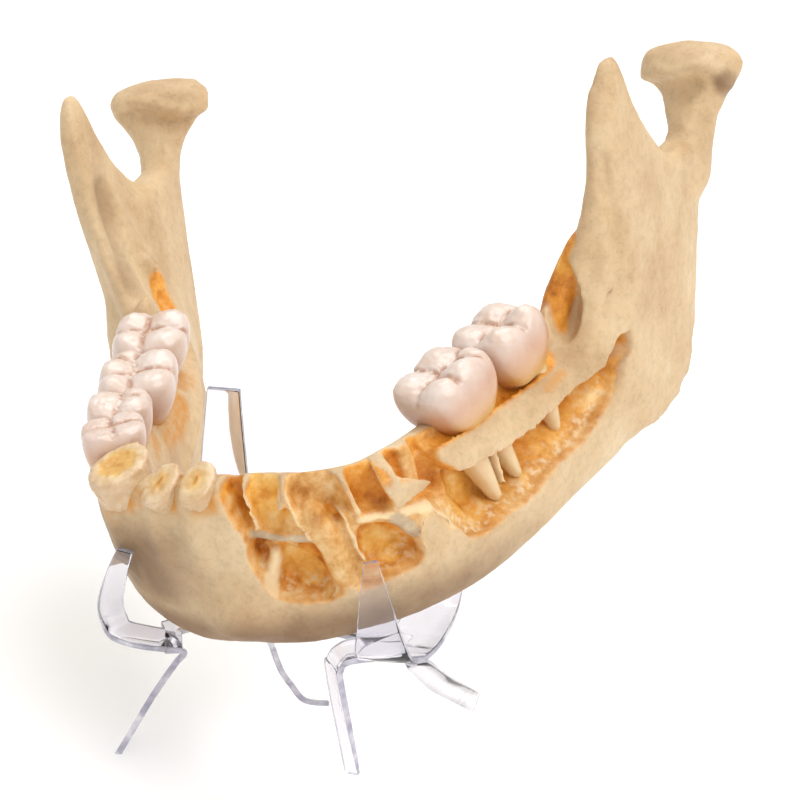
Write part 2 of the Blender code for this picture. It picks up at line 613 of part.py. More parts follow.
def smoothLine(points, steps):
    """Rounded line through the points, with the given number of steps between each two."""
    line = []
    for i in range(len(points) - 1):
        a, b, c, d = (points[max(i - 1, 0)], points[i], points[i + 1],
                      points[min(i + 2, len(points) - 1)])
        for k in range(steps):
            t = k / steps
            line.append(0.5 * (2 * b + (c - a) * t + (2 * a - 5 * b + 4 * c - d) * t ** 2
                               + (3 * b - a - 3 * c + d) * t ** 3))
    line.append(points[-1])
    return line


def stripMesh(name, pairs, steps):
    """Bent strip of sheet between two edge lines."""
    first = smoothLine([Vector(pair[0]) for pair in pairs], steps)
    second = smoothLine([Vector(pair[1]) for pair in pairs], steps)
    middle = [0.5 * (a + b) for a, b in zip(first, second)]
    rings = []
    for i, (a, b) in enumerate(zip(first, second)):
        run = middle[min(i + 1, len(middle) - 1)] - middle[max(i - 1, 0)]
        half = (b - a).cross(run).normalized() * 0.5 * sheetThick
        rings.append([a - half, b - half, b + half, a + half])
    return loftMesh(name, rings)


stand = linkObject("display_stand", stripMesh("display_stand", crossBar, 2), jawCollection)
stand.data.materials.append(clearMaterial)
standStrips = {
    "cradle_strip": (cradleStrip, 2), "left_prong_strip": (leftProng, 2),
    "back_arm_strip": (backArm, 2), "front_leg_strip": (frontLeg, 1),
    "side_leg_strip": (sideLeg, 2), "left_leg_strip": (leftLeg, 1),
    "back_leg_strip": (backLeg, 2), "rear_leg_strip": (rearLeg, 1),
}
for name, (pairs, steps) in standStrips.items():
    addBoolean(stand, linkObject(name, stripMesh(name, pairs, steps), cutterCollection), "UNION")
tableMesh = bpy.data.meshes.new("table_cut")
tableShape = bmesh.new()
tableSize = 200.0 * unit
bmesh.ops.create_cube(tableShape, size=tableSize,
                      matrix=Matrix.Translation((0.0, 0.0, -0.5 * tableSize)))
tableShape.to_mesh(tableMesh)
tableShape.free()
addBoolean(stand, linkObject("table_cut", tableMesh, cutterCollection))


def boundsOf(items):
    """World box round the finished shapes of the given objects."""
    depsgraph = bpy.context.evaluated_depsgraph_get()
    points = []
    for item in items:
        finished = item.evaluated_get(depsgraph)
        points += [finished.matrix_world @ vertex.co for vertex in finished.data.vertices]
    low = Vector([min(point[axis] for point in points) for axis in range(3)])
    high = Vector([max(point[axis] for point in points) for axis in range(3)])
    return low, high


# The origin lies on the table, under the middle of the whole.
bpy.context.view_layer.update()
low, high = boundsOf(jawCollection.objects)
middle = Vector((0.5 * (low.x + high.x), 0.5 * (low.y + high.y), low.z))
for item in list(jawCollection.objects) + list(cutterCollection.objects):
    item.matrix_world = Matrix.Translation(-middle) @ item.matrix_world
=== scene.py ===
import math

import bpy
import numpy as np
from mathutils import Euler, Matrix, Vector, noise


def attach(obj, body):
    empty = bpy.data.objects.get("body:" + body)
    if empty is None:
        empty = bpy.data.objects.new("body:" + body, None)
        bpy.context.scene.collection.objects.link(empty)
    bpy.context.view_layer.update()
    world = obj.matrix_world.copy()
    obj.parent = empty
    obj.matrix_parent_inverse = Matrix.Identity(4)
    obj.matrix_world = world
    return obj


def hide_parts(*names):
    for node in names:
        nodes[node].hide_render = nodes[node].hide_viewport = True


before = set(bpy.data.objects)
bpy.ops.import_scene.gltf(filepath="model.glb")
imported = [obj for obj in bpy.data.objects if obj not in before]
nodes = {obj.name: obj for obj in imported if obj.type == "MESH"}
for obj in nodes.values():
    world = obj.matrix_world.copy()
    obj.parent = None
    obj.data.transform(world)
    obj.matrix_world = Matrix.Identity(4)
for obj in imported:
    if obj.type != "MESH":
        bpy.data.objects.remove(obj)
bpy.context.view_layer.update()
mm = 0.001
print("frame loaded:", len(nodes), "nodes")


# an sRGB hex colour as the linear values a shader takes
def toLinear(hexColour):
    channels = [int(hexColour[i:i + 2], 16) / 255 for i in (1, 3, 5)]
    return [c / 12.92 if c <= 0.04045 else ((c + 0.055) / 1.055) ** 2.4 for c in channels] + [1.0]


# adds one shader node; settings name an input or a property, links name (node, output)
def addNode(tree, kind, settings=None, links=None):
    node = tree.nodes.new("ShaderNode" + kind)
    values = dict(settings or {})
    for name in [n for n in values if isinstance(n, str) and hasattr(node, n)]:
        setattr(node, name, values.pop(name))
    for name, value in values.items():
        node.inputs[name].default_value = value
    for name, (source, output) in (links or {}).items():
        tree.links.new(source.outputs[output], node.inputs[name])
    return node


# three-stop or longer colour ramp driven by one value
def addRamp(tree, source, stops):
    node = addNode(tree, "ValToRGB", {}, {0: source})
    ramp = node.color_ramp
    while len(ramp.elements) < len(stops):
        ramp.elements.new(0.5)
    for element, (place, colour) in zip(ramp.elements, stops):
        element.position = place
        element.color = toLinear(colour) if isinstance(colour, str) else (colour, colour, colour, 1)
    return node


def newMaterial(name, settings):
    material = bpy.data.materials.new(name)
    material.use_nodes = True
    shader = material.node_tree.nodes["Principled BSDF"]
    for socket, value in settings.items():
        shader.inputs[socket].default_value = value
    return material, material.node_tree, shader


def selectOnly(item):
    bpy.ops.object.select_all(action="DESELECT")
    item.select_set(True)
    bpy.context.view_layer.objects.active = item


# adds a modifier, sets it up and applies it at once; one that fails stays on the piece
def applyModifier(item, kind, **settings):
    selectOnly(item)
    modifier = item.modifiers.new(kind.lower(), kind)
    for name, value in settings.items():
        setattr(modifier, name, value)
    bpy.ops.object.modifier_apply(modifier=modifier.name)
    if len(item.modifiers) or not len(item.data.polygons):
        raise RuntimeError(kind + " failed on " + item.name)


# merges doubled points and turns all faces outwards
def weldPiece(item):
    selectOnly(item)
    bpy.ops.object.mode_set(mode="EDIT")
    bpy.ops.mesh.select_all(action="SELECT")
    bpy.ops.mesh.remove_doubles(threshold=0.000001)
    bpy.ops.mesh.normals_make_consistent(inside=False)
    bpy.ops.object.mode_set(mode="OBJECT")


# unites or cuts with another piece, which is used up
def combine(item, other, operation, solver="MANIFOLD"):
    applyModifier(item, "BOOLEAN", object=other, operation=operation, solver=solver)
    bpy.data.objects.remove(other)


# a new piece from points in metres, put in its place by a matrix
def meshPiece(name, points, faces, place=None):
    mesh = bpy.data.meshes.new(name)
    mesh.from_pydata(np.asarray(points).tolist(), [], faces)
    if place is not None:
        mesh.transform(place)
    piece = bpy.data.objects.new(name, mesh)
    bpy.context.scene.collection.objects.link(piece)
    return piece


def addBall(name, segments, rings, radius=1.0, place=(0, 0, 0)):
    bpy.ops.object.select_all(action="DESELECT")
    bpy.ops.mesh.primitive_uv_sphere_add(segments=segments, ring_count=rings, radius=radius, location=place)
    ball = bpy.context.active_object
    ball.name = name
    return ball


def joinPieces(target, others):
    bpy.ops.object.select_all(action="DESELECT")
    for other in others:
        other.select_set(True)
    target.select_set(True)
    bpy.context.view_layer.objects.active = target
    bpy.ops.object.join()


def copyNode(node, name):
    piece = nodes[node].copy()
    piece.data = nodes[node].data.copy()
    piece.name = name
    piece.data.name = name
    for key in list(piece.keys()):
        del piece[key]
    piece.parent = None
    piece.matrix_world = Matrix.Identity(4)
    bpy.context.scene.collection.objects.link(piece)
    selectOnly(piece)
    bpy.ops.object.mode_set(mode="EDIT")
    bpy.ops.mesh.select_all(action="SELECT")
    bpy.ops.mesh.remove_doubles(threshold=0.00001)
    bpy.ops.object.mode_set(mode="OBJECT")
    return piece


# the points of a mesh, or its "normal"s
def readPoints(item, layer="co"):
    values = np.zeros(len(item.data.vertices) * 3)
    item.data.vertices.foreach_get(layer, values)
    return values.reshape(-1, 3)


def writePoints(item, points):
    item.data.vertices.foreach_set("co", np.ascontiguousarray(points).ravel())
    item.data.update()


def writeMask(item, name, values):
    old = item.data.attributes.get(name)
    if old is not None:
        item.data.attributes.remove(old)
    layer = item.data.attributes.new(name, "FLOAT", "POINT")
    layer.data.foreach_set("value", np.clip(values, 0, 1).astype(np.float32))


# 0 below low, 1 above high, with low above high the other way round
def smoothStep(low, high, value):
    t = np.clip((value - low) / (high - low), 0, 1)
    return t * t * (3 - 2 * t)


def finishPiece(item, material, node):
    if material is not None:
        item.data.materials.clear()
        item.data.materials.append(material)
    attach(item, "root")
    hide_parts(node)


# The jaw's own upright drawing, in units of 0.88 mm, and its place on the stand.
jawDrawing = {
    "unit": 0.88 * mm,
    "pitch": math.radians(11.0),
    "roll": math.radians(-8.9),
    "chin": (0.0, 3.0, 5.0),
    "chinHeight": 24.0,
    "middle": (-9.2213 * mm, 39.4467 * mm, 0.0),
}
unit = jawDrawing["unit"]
turn = Euler((jawDrawing["pitch"], jawDrawing["roll"], 0.0), "XYZ").to_matrix().to_4x4()
jawPlace = (Matrix.Translation(-Vector(jawDrawing["middle"]))
            @ Matrix.Translation(Vector((0, 0, jawDrawing["chinHeight"] * unit)))
            @ turn @ Matrix.Translation(-Vector(jawDrawing["chin"]) * unit)
            @ Matrix.Scale(unit, 4))
jawPlaceBack = jawPlace.inverted()


def toJaw(points):
    m = np.array(jawPlaceBack)
    return points @ m[:3, :3].T + m[:3, 3]


# Dry cortical bone, cleaned and degreased: matt, warm cream, faint streaks and tiny pores;
# where it was ground open the spongy inside is amber with pale crumbly edges. Low on the chin it is
# darkened by painted shade with some brown patina, and in the right ramus's groove by painted shade.
def makeBone():
    material, tree, shader = newMaterial("dry_bone", {
        "Roughness": 0.58, "IOR": 1.54, "Subsurface Weight": 0.12, "Subsurface Radius": (1.0, 0.55, 0.3),
        "Subsurface Scale": 1.4 * mm})
    where = addNode(tree, "TexCoord")
    masks = {name: addNode(tree, "Attribute", {"attribute_name": name})
             for name in ("cavity", "pale", "stain", "tan", "yellow", "web", "shade_and_patina")}
    # clouds of warmer and paler bone, 12 mm across
    clouds = addNode(tree, "TexNoise", {"Scale": 85.0, "Detail": 5.0, "Roughness": 0.62},
                     {"Vector": (where, "Object")})
    cortex = addRamp(tree, (clouds, 0), [(0.30, "#b9966c"), (0.50, "#cbad84"), (0.72, "#d8bf98")])
    # grain 1.5 mm long
    grain = addNode(tree, "TexNoise", {"Scale": 900.0, "Detail": 6.0, "Roughness": 0.7, "Distortion": 0.4},
                    {"Vector": (where, "Object")})
    grainTone = addRamp(tree, (grain, 0), [(0.30, 0.80), (0.52, 1.0), (0.8, 1.06)])
    grained = addNode(tree, "Mix", {"data_type": "RGBA", "blend_type": "MULTIPLY", 0: 0.8},
                      {6: (cortex, 0), 7: (grainTone, 0)})
    # pores 0.25 mm wide, only where a second noise lets them show
    pores = addNode(tree, "TexVoronoi", {"Scale": 1100.0, "Randomness": 1.0}, {"Vector": (where, "Object")})
    poreSpots = addRamp(tree, (pores, 0), [(0.10, 1.0), (0.24, 0.0)])
    poreZones = addRamp(tree, (clouds, 0), [(0.40, 0.9), (0.58, 0.15)])
    poreMask = addNode(tree, "Math", {"operation": "MULTIPLY"}, {0: (poreSpots, 0), 1: (poreZones, 0)})
    poreFade = addNode(tree, "Math", {"operation": "MULTIPLY", 1: 0.26}, {0: (poreMask, 0)})
    pored = addNode(tree, "Mix", {"data_type": "RGBA", 7: toLinear("#8d6237")},
                    {0: (poreFade, 0), 6: (grained, 2)})
    # the ground-open inside: fat-stained amber, tan sockets, smoother yellow walls, dry greyish webs
    inner = addNode(tree, "TexNoise", {"Scale": 330.0, "Detail": 6.0, "Roughness": 0.65},
                    {"Vector": (where, "Object")})
    inside = (addRamp(tree, (inner, 0), [(0.32, "#a85c08"), (0.45, "#d0821a"), (0.58, "#e2a03a"),
                                         (0.72, "#ebc37c")]), 0)
    for name, stops in {"tan": [(0.32, "#b4782c"), (0.48, "#cf9f5c"), (0.66, "#e4c492")],
                        "yellow": [(0.32, "#d08a26"), (0.5, "#e6b050"), (0.68, "#efcf8c")],
                        "web": [(0.35, "#a98f70"), (0.65, "#cdb796")]}.items():
        tone = addRamp(tree, (inner, 0), stops)
        inside = (addNode(tree, "Mix", {"data_type": "RGBA"},
                          {0: (masks[name], "Fac"), 6: inside, 7: (tone, 0)}), 2)
    # painted shade and brown patina: greyish brown multiplied in where that mask is
    shadedAndBrowned = addNode(tree, "Mix", {"data_type": "RGBA", "blend_type": "MULTIPLY", 7: toLinear("#aa9a8e")},
                      {0: (masks["shade_and_patina"], "Fac"), 6: (pored, 2)})
    opened = addNode(tree, "Mix", {"data_type": "RGBA"},
                     {0: (masks["cavity"], "Fac"), 6: (shadedAndBrowned, 2), 7: inside})
    edged = addNode(tree, "Mix", {"data_type": "RGBA", 7: toLinear("#e4cfa6")},
                    {0: (masks["pale"], "Fac"), 6: (opened, 2)})
    stained = addNode(tree, "Mix", {"data_type": "RGBA", 7: toLinear("#c98a35")},
                      {0: (masks["stain"], "Fac"), 6: (edged, 2)})
    tree.links.new(stained.outputs[2], shader.inputs["Base Color"])
    height = addNode(tree, "Math", {"operation": "MULTIPLY_ADD", 1: -0.35}, {0: (poreMask, 0), 2: (grain, 0)})
    bump = addNode(tree, "Bump", {"Strength": 0.35, "Distance": 0.12 * mm}, {"Height": (height, 0)})
    tree.links.new(bump.outputs[0], shader.inputs["Normal"])
    return material


# Tooth enamel, polished by wear: glassy, pinkish cream, a little see-through at the cusps,
# yellower towards the neck, darker on the crown's lower half by painted shade with a warm painted
# reflection, with brown in the deepest pits and fine level growth lines.
def makeEnamel():
    material, tree, shader = newMaterial("tooth_enamel", {
        "Roughness": 0.3, "IOR": 1.63, "Subsurface Weight": 0.15, "Subsurface Radius": (1.0, 0.7, 0.5),
        "Subsurface Scale": 1.2 * mm, "Coat Weight": 0.2, "Coat Roughness": 0.16})
    where = addNode(tree, "TexCoord")
    rise = addNode(tree, "Attribute", {"attribute_name": "rise"})
    fissure = addNode(tree, "Attribute", {"attribute_name": "fissure"})
    # neck to cusp: root cement, yellow neck, pinkish cream body, bluish white tips; the crown's lower
    # half is kept darker and browner as painted shade with a warm painted reflection
    body = addRamp(tree, (rise, "Fac"), [
        (0.02, "#dcc294"), (0.24, "#d6b67e"), (0.40, "#c8944e"), (0.50, "#cba078"), (0.64, "#cda993"),
        (0.76, "#d6c1b4"), (0.95, "#e3d6cd")])
    clouds = addNode(tree, "TexNoise", {"Scale": 260.0, "Detail": 4.0, "Roughness": 0.55},
                     {"Vector": (where, "Object")})
    cloudTone = addRamp(tree, (clouds, 0), [(0.30, "#efe0d2"), (0.70, "#ffffff")])
    clouded = addNode(tree, "Mix", {"data_type": "RGBA", "blend_type": "MULTIPLY", 0: 0.8},
                      {6: (body, 0), 7: (cloudTone, 0)})
    pitted = addNode(tree, "Mix", {"data_type": "RGBA", 7: toLinear("#a5714e")},
                     {0: (fissure, "Fac"), 6: (clouded, 2)})
    tree.links.new(pitted.outputs[2], shader.inputs["Base Color"])
    # growth lines 0.35 mm apart
    lines = addNode(tree, "TexWave", {"bands_direction": "Z", "Scale": 450.0, "Distortion": 1.5,
                                      "Detail": 2.0, "Detail Scale": 0.6}, {"Vector": (where, "Object")})
    bump = addNode(tree, "Bump", {"Strength": 0.12, "Distance": 0.05 * mm}, {"Height": (lines, 1)})
    tree.links.new(bump.outputs[0], shader.inputs["Normal"])
    return material


# Broken dentine: satin, yellow to tan, a darker ring and dot where the pulp ran.
def makeDentine():
    material, tree, shader = newMaterial("broken_dentine", {
        "Roughness": 0.36, "IOR": 1.54, "Subsurface Weight": 0.2, "Subsurface Radius": (1.0, 0.6, 0.35),
        "Subsurface Scale": 1.2 * mm})
    where = addNode(tree, "TexCoord")
    core = addNode(tree, "Attribute", {"attribute_name": "core"})
    clouds = addNode(tree, "TexNoise", {"Scale": 420.0, "Detail": 5.0, "Roughness": 0.6},
                     {"Vector": (where, "Object")})
    face = addRamp(tree, (core, "Fac"), [(0.0, "#d6bd9c"), (0.16, "#dfc9ac"), (0.30, "#e0c79c"),
                                         (0.45, "#e0b76c"), (0.8, "#d9a452"), (0.95, "#a06c30")])
    tone = addRamp(tree, (clouds, 0), [(0.3, "#dcc3a0"), (0.7, "#ffffff")])
    mixed = addNode(tree, "Mix", {"data_type": "RGBA", "blend_type": "MULTIPLY", 0: 0.8},
                    {6: (face, 0), 7: (tone, 0)})
    tree.links.new(mixed.outputs[2], shader.inputs["Base Color"])
    bump = addNode(tree, "Bump", {"Strength": 0.3, "Distance": 0.1 * mm}, {"Height": (clouds, 0)})
    tree.links.new(bump.outputs[0], shader.inputs["Normal"])
    return material


# Clear acrylic sheet, cut and bent hot: the broad faces are glossy and nearly vanish.
def makeAcrylic():
    material, tree, shader = newMaterial("clear_acrylic", {
        "Transmission Weight": 1.0, "IOR": 1.49, "Roughness": 0.03, "Base Color": toLinear("#eceaf1")})
    where = addNode(tree, "TexCoord")
    # slow waves left by bending, 8 mm long
    waves = addNode(tree, "TexNoise", {"Scale": 120.0, "Detail": 2.0}, {"Vector": (where, "Object")})
    bump = addNode(tree, "Bump", {"Strength": 0.15, "Distance": 0.3 * mm}, {"Height": (waves, 0)})
    tree.links.new(bump.outputs[0], shader.inputs["Normal"])
    return material


# The same sheet where the saw cut it and a flame ran over it: satin, streaked along the cut; its violet
# grey and bright lines are painted light, standing for the light the sheet carries to its cut edges.
def makeSawnAcrylicPaintedLight():
    material, tree, shader = newMaterial("sawn_acrylic_painted_light", {
        "Transmission Weight": 0.5, "IOR": 1.49, "Roughness": 0.22})
    where = addNode(tree, "TexCoord")
    # streaks along the cut, 3 mm long, painted grey to near white as light carried to the edge
    streaks = addNode(tree, "TexNoise", {"Scale": 330.0, "Detail": 4.0, "Distortion": 0.6},
                      {"Vector": (where, "Object")})
    tone = addRamp(tree, (streaks, 0), [(0.36, "#a6a2b4"), (0.52, "#cdcad6"), (0.66, "#f2f1f5")])
    tree.links.new(tone.outputs[0], shader.inputs["Base Color"])
    bump = addNode(tree, "Bump", {"Strength": 0.25, "Distance": 0.1 * mm}, {"Height": (streaks, 0)})
    tree.links.new(bump.outputs[0], shader.inputs["Normal"])
    return material


bone = makeBone()
enamel = makeEnamel()
dentine = makeDentine()
acrylic = makeAcrylic()
sawnAcrylicPaintedLight = makeSawnAcrylicPaintedLight()
print("materials made")


# The camera, fitted to the photo.
view = {
    "place": (0.1508289, -0.3266577, 0.1729151),
    "turn": (70.0282, -0.0866, 22.7344),      # degrees
    "lens": 120.0236,
}
cameraData = bpy.data.cameras.new("camera")
cameraData.lens = view["lens"]
cameraData.sensor_width = 36.0
cameraData.clip_start = 0.01
camera = bpy.data.objects.new("camera", cameraData)
camera.location = view["place"]
camera.rotation_euler = [math.radians(a) for a in view["turn"]]
bpy.context.scene.collection.objects.link(camera)
bpy.context.scene.camera = camera

studio = {
    "floorSize": 6.0,
    "floorColour": "#fdfdfc",
    "skyColour": "#ffffff",
    "skyStrength": 0.72,
    # place, size and power of each softbox, all aimed at the jaw
    "boxes": {
        "key": ((0.85, -0.35, 1.0), 1.1, 9.5),
        "top": ((-0.1, 0.3, 1.2), 1.0, 6.5),
    },
    "aim": (0.0, 0.0, 0.05),
}
bpy.ops.object.select_all(action="DESELECT")
bpy.ops.mesh.primitive_plane_add(size=studio["floorSize"], location=(0, 0, 0))
floor = bpy.context.active_object
floor.name = "floor"
floor.data.materials.append(newMaterial("white_paper", {
    "Base Color": toLinear(studio["floorColour"]), "Roughness": 0.9})[0])

world = bpy.data.worlds.new("studio")
world.use_nodes = True
world.node_tree.nodes["Background"].inputs["Color"].default_value = toLinear(studio["skyColour"])
world.node_tree.nodes["Background"].inputs["Strength"].default_value = studio["skyStrength"]
bpy.context.scene.world = world
for name, (place, size, power) in studio["boxes"].items():
    lampData = bpy.data.lights.new(name, "AREA")
    lampData.shape = "DISK"
    lampData.size = size
    lampData.energy = power
    lamp = bpy.data.objects.new(name, lampData)
    lamp.location = place
    lamp.rotation_euler = (Vector(studio["aim"]) - Vector(place)).to_track_quat("-Z", "Y").to_euler()
    bpy.context.scene.collection.objects.link(lamp)
bpy.context.scene.view_settings.view_transform = "Standard"
print("studio set")


boneShape = {
    "voxel": 0.4 * mm,
    "smooth": 2,
    "keep": 0.62,
    "squareness": 3.03,      # of the body's outline in section
    # heading of the cheek face, lower border, rim, and thickness low, half way and at the rim,
    # from the midline back along the arch
    "stations": [
        (0, 0, 8.6, 4.4, 0, 7.2, 33.2, 11.0, 8.8, 8.4),
        (18, 7.2, 9.6, 3.8, 7.2, 7.8, 33.2, 10.6, 8.8, 8.4),
        (32, 13.4, 12.4, 3.6, 15.0, 8.8, 32.8, 10.2, 9.4, 9.2),
        (44, 19.6, 17.2, 3.4, 20.6, 13.4, 31.8, 10.0, 10.4, 9.8),
        (55, 25.2, 24.2, 3.2, 24.0, 21.8, 30.6, 10.2, 11.4, 10.6),
        (64, 29.2, 32.2, 3.4, 27.0, 31.6, 29.6, 10.4, 12.8, 12.4),
        (70, 32.2, 41.4, 3.8, 29.6, 42.0, 29.0, 10.6, 13.4, 12.8),
        (74, 35.0, 51.0, 4.4, 32.6, 51.0, 28.0, 10.4, 13.6, 12.6),
        (76, 38.4, 61.0, 5.0, 37.0, 60.5, 29.0, 9.4, 12.6, 11.4),
        (80, 42.2, 71.5, 6.2, 42.4, 70.5, 33.0, 7.6, 10.4, 9.0),
        (82, 44.4, 78.0, 9.5, 44.8, 77.5, 36.0, 6.4, 8.0, 7.5),
    ],
}


# smooth curve through b and c, a share t of the way, with neighbours a and d
def throughPoints(a, b, c, d, t):
    return 0.5 * (2 * b + (c - a) * t + (2 * a - 5 * b + 4 * c - d) * t ** 2
                  + (3 * b - a - 3 * c + d) * t ** 3)


def stationValues(s):
    table = [np.array(row, float) for row in boneShape["stations"]]
    mirrored = table[1] * np.array((-1, -1, 1, 1, -1, 1, 1, 1, 1, 1))
    low = min(int(s), len(table) - 2)
    before = mirrored if low == 0 else table[low - 1]
    return throughPoints(before, table[low], table[low + 1], table[min(low + 2, len(table) - 1)], s - low)


# dense copy of the stations
stationSteps = np.arange(-1.2, 9.81, 0.01)
stationTable = np.array([stationValues(s) for s in stationSteps])


# drawn point at a station, a share of the height and a depth under the cheek face, in units
def archPlace(s, f, inward):
    heading, bx, by, bz, rx, ry, rz, low, middle, top = [
        np.interp(s, stationSteps, stationTable[:, k]) for k in range(10)]
    heading = np.radians(heading)
    g = np.clip(f, 0, 1)
    half = 0.5 * (low * (1 - g) * (1 - 2 * g) + 4 * middle * g * (1 - g) + top * g * (2 * g - 1))
    across = half - inward
    return np.stack([bx + (rx - bx) * f + across * np.sin(heading),
                     by + (ry - by) * f - across * np.cos(heading), bz + (rz - bz) * f], axis=-1)


# the cheek face laid flat: mm along it from the midline, and its height in mm
cheekLine = archPlace(stationSteps, 0.5, 0.0) * unit / mm
cheekAlong = np.concatenate([[0], np.cumsum(np.linalg.norm(np.diff(cheekLine, axis=0), axis=1))])
cheekAlong -= np.interp(0.0, stationSteps, cheekAlong)
cheekHeight = np.linalg.norm(stationTable[:, 4:7] - stationTable[:, 1:4], axis=1) * unit / mm


# for each drawn point: station along the arch (right side negative), how deep it lies under the
# uncut skin of the body, in units, and its share of the height
def archDepth(drawn):
    x, y, z = np.abs(drawn[:, 0]), drawn[:, 1], drawn[:, 2]
    best = np.full(len(drawn), 1e9)
    station, depth, height = np.zeros(len(drawn)), np.full(len(drawn), -9.0), np.zeros(len(drawn))
    for s in np.arange(0.0, 10.001, 0.1):
        heading, bx, by, bz, rx, ry, rz, low, middle, top = stationValues(s)
        heading = math.radians(heading)
        f = (z - bz) / (rz - bz)
        g = np.clip(f, 0, 1)
        half = 0.5 * (low * (1 - g) * (1 - 2 * g) + 4 * middle * g * (1 - g) + top * g * (2 * g - 1))
        dx, dy = x - bx - (rx - bx) * f, y - by - (ry - by) * f
        onwards = dx * math.cos(heading) + dy * math.sin(heading)
        along = np.abs(onwards)
        across = dx * math.sin(heading) - dy * math.cos(heading)
        square = boneShape["squareness"]
        fill = (np.abs(across / half) ** square + np.abs(2 * f - 1) ** square) ** 0.33
        nearer = along < best
        best = np.where(nearer, along, best)
        station = np.where(nearer, np.clip(s + onwards / 10.5, s - 0.05, s + 0.05), station)
        depth = np.where(nearer, (1 - fill) * half, depth)
        height = np.where(nearer, f, height)
    return np.where(drawn[:, 0] < 0, -station, station), depth, height


# one noise value a point; size is the width of a feature in mm
def noiseAt(points, size, kind="cloud", shift=0.0):
    scaled = points / (size * mm) + shift
    if kind == "cells":      # 0 in the middle of a cell, rising to its walls
        found = [noise.voronoi(Vector(p))[0] for p in scaled]
        return np.array([1 - min((f[1] - f[0]) / 0.45, 1.0) for f in found])
    return np.array([noise.fractal(Vector(p), 0.9, 2.0, 3) for p in scaled])


def noiseVectors(points, size):
    return np.array([noise.noise_vector(Vector(p)) for p in points / (size * mm)])


# distance from each point to a line of points given in mm
def farFromLine(points, line):
    line = np.array(line, float) * mm
    nearest = np.full(len(points), 1e9)
    for a, b in zip(line, line[1:]):
        t = np.clip(((points - a) @ (b - a)) / ((b - a) @ (b - a)), 0, 1)
        nearest = np.minimum(nearest, np.linalg.norm(points - a - t[:, None] * (b - a), axis=1))
    return nearest


# a round bar along a line of points in mm, closed at both ends
def barSolid(name, line, radii):
    curve = bpy.data.curves.new(name, "CURVE")
    curve.dimensions = "3D"
    curve.bevel_depth = mm
    curve.bevel_resolution = 5
    curve.use_fill_caps = True
    spline = curve.splines.new("POLY")
    spline.points.add(len(line) - 1)
    for point, place, radius in zip(spline.points, line, radii):
        point.co = (*[c * mm for c in place], 1)
        point.radius = radius
    item = bpy.data.objects.new(name, curve)
    bpy.context.scene.collection.objects.link(item)
    selectOnly(item)
    bpy.ops.object.convert(target="MESH")
    bar = bpy.context.active_object
    weldPiece(bar)
    return bar


# a flake of bone: its outline in mm, pushed through by its thickness
def flakeSolid(name, outline, push):
    item = meshPiece(name, [[c * mm for c in p] for p in outline], [list(range(len(outline)))])
    selectOnly(item)
    bpy.ops.object.mode_set(mode="EDIT")
    bpy.ops.mesh.select_all(action="SELECT")
    bpy.ops.mesh.extrude_region_move(TRANSFORM_OT_translate={"value": [c * mm for c in push]})
    bpy.ops.mesh.select_all(action="SELECT")
    bpy.ops.mesh.normals_make_consistent(inside=False)
    bpy.ops.object.mode_set(mode="OBJECT")
    return item


# a smooth ball of its own three half widths, in mm
def ballSolid(name, place, size):
    ball = addBall(name, 32, 20, mm, [c * mm for c in place])
    ball.scale = size
    bpy.ops.object.transform_apply(location=True, rotation=True, scale=True)
    return ball


# the uncut body between two stations, to fill the plain holes before the real ones are carved
def bodySolid(name, first, last, side):
    sides = 48
    bow = 2 / boneShape["squareness"]
    turns = np.linspace(0, 2 * math.pi, sides, endpoint=False)
    rings = []
    for s in np.arange(first, last + 0.001, 0.1):
        f = 0.5 + 0.498 * np.sign(np.sin(turns)) * np.abs(np.sin(turns)) ** bow
        outer = archPlace(np.full(sides, s), f, np.zeros(sides))
        row = np.array([np.interp(s, stationSteps, stationTable[:, k]) for k in range(7)])
        heading = math.radians(row[0])
        outward = np.array((math.sin(heading), -math.cos(heading), 0.0))
        centre = row[1:4] + (row[4:7] - row[1:4]) * f[:, None]
        half = (outer - centre) @ outward
        rings.append(centre + outward * (half * 0.99 * np.sign(np.cos(turns))
                                         * np.abs(np.cos(turns)) ** bow)[:, None])
    count = len(rings)
    points = np.concatenate(rings) * np.array((side, 1, 1))
    faces = []
    for i in range(count - 1):
        for k in range(sides):
            onwards = (k + 1) % sides
            faces.append((i * sides + k, i * sides + onwards, (i + 1) * sides + onwards, (i + 1) * sides + k))
    faces += [list(range(sides)), list(range((count - 1) * sides, count * sides))]
    body = meshPiece(name, points, faces, jawPlace)
    weldPiece(body)
    return body


jaw = copyNode("mandible", "jaw_bone")
# what the real bone has beyond the plain solid, in mm
boneParts = {
    "left_body": bodySolid("left_body", -0.3, 8.2, 1),
    "right_body": bodySolid("right_body", -0.3, 7.8, -1),
    "left_crypt_wall": barSolid("left_crypt_wall", [(38.4, 5.8, 70.0), (37.9, 5.8, 68.4), (37.2, 5.6, 65.8),
                                                    (36.4, 5.3, 63.0), (35.6, 5.0, 60.4), (35.1, 4.8, 57.6),
                                                    (35.4, 4.6, 54.0)], [0.9, 1.4, 1.8, 2.0, 2.1, 2.1, 2.0]),
    "right_crypt_fill": ballSolid("right_crypt_fill", (-27.6, 3.4, 50.2), (1.35, 2.7, 3.5)),
}
joinPieces(jaw, boneParts.values())
applyModifier(jaw, "REMESH", mode="VOXEL", voxel_size=boneShape["voxel"], use_smooth_shade=True)
print("bone filled:", len(jaw.data.polygons), "faces")

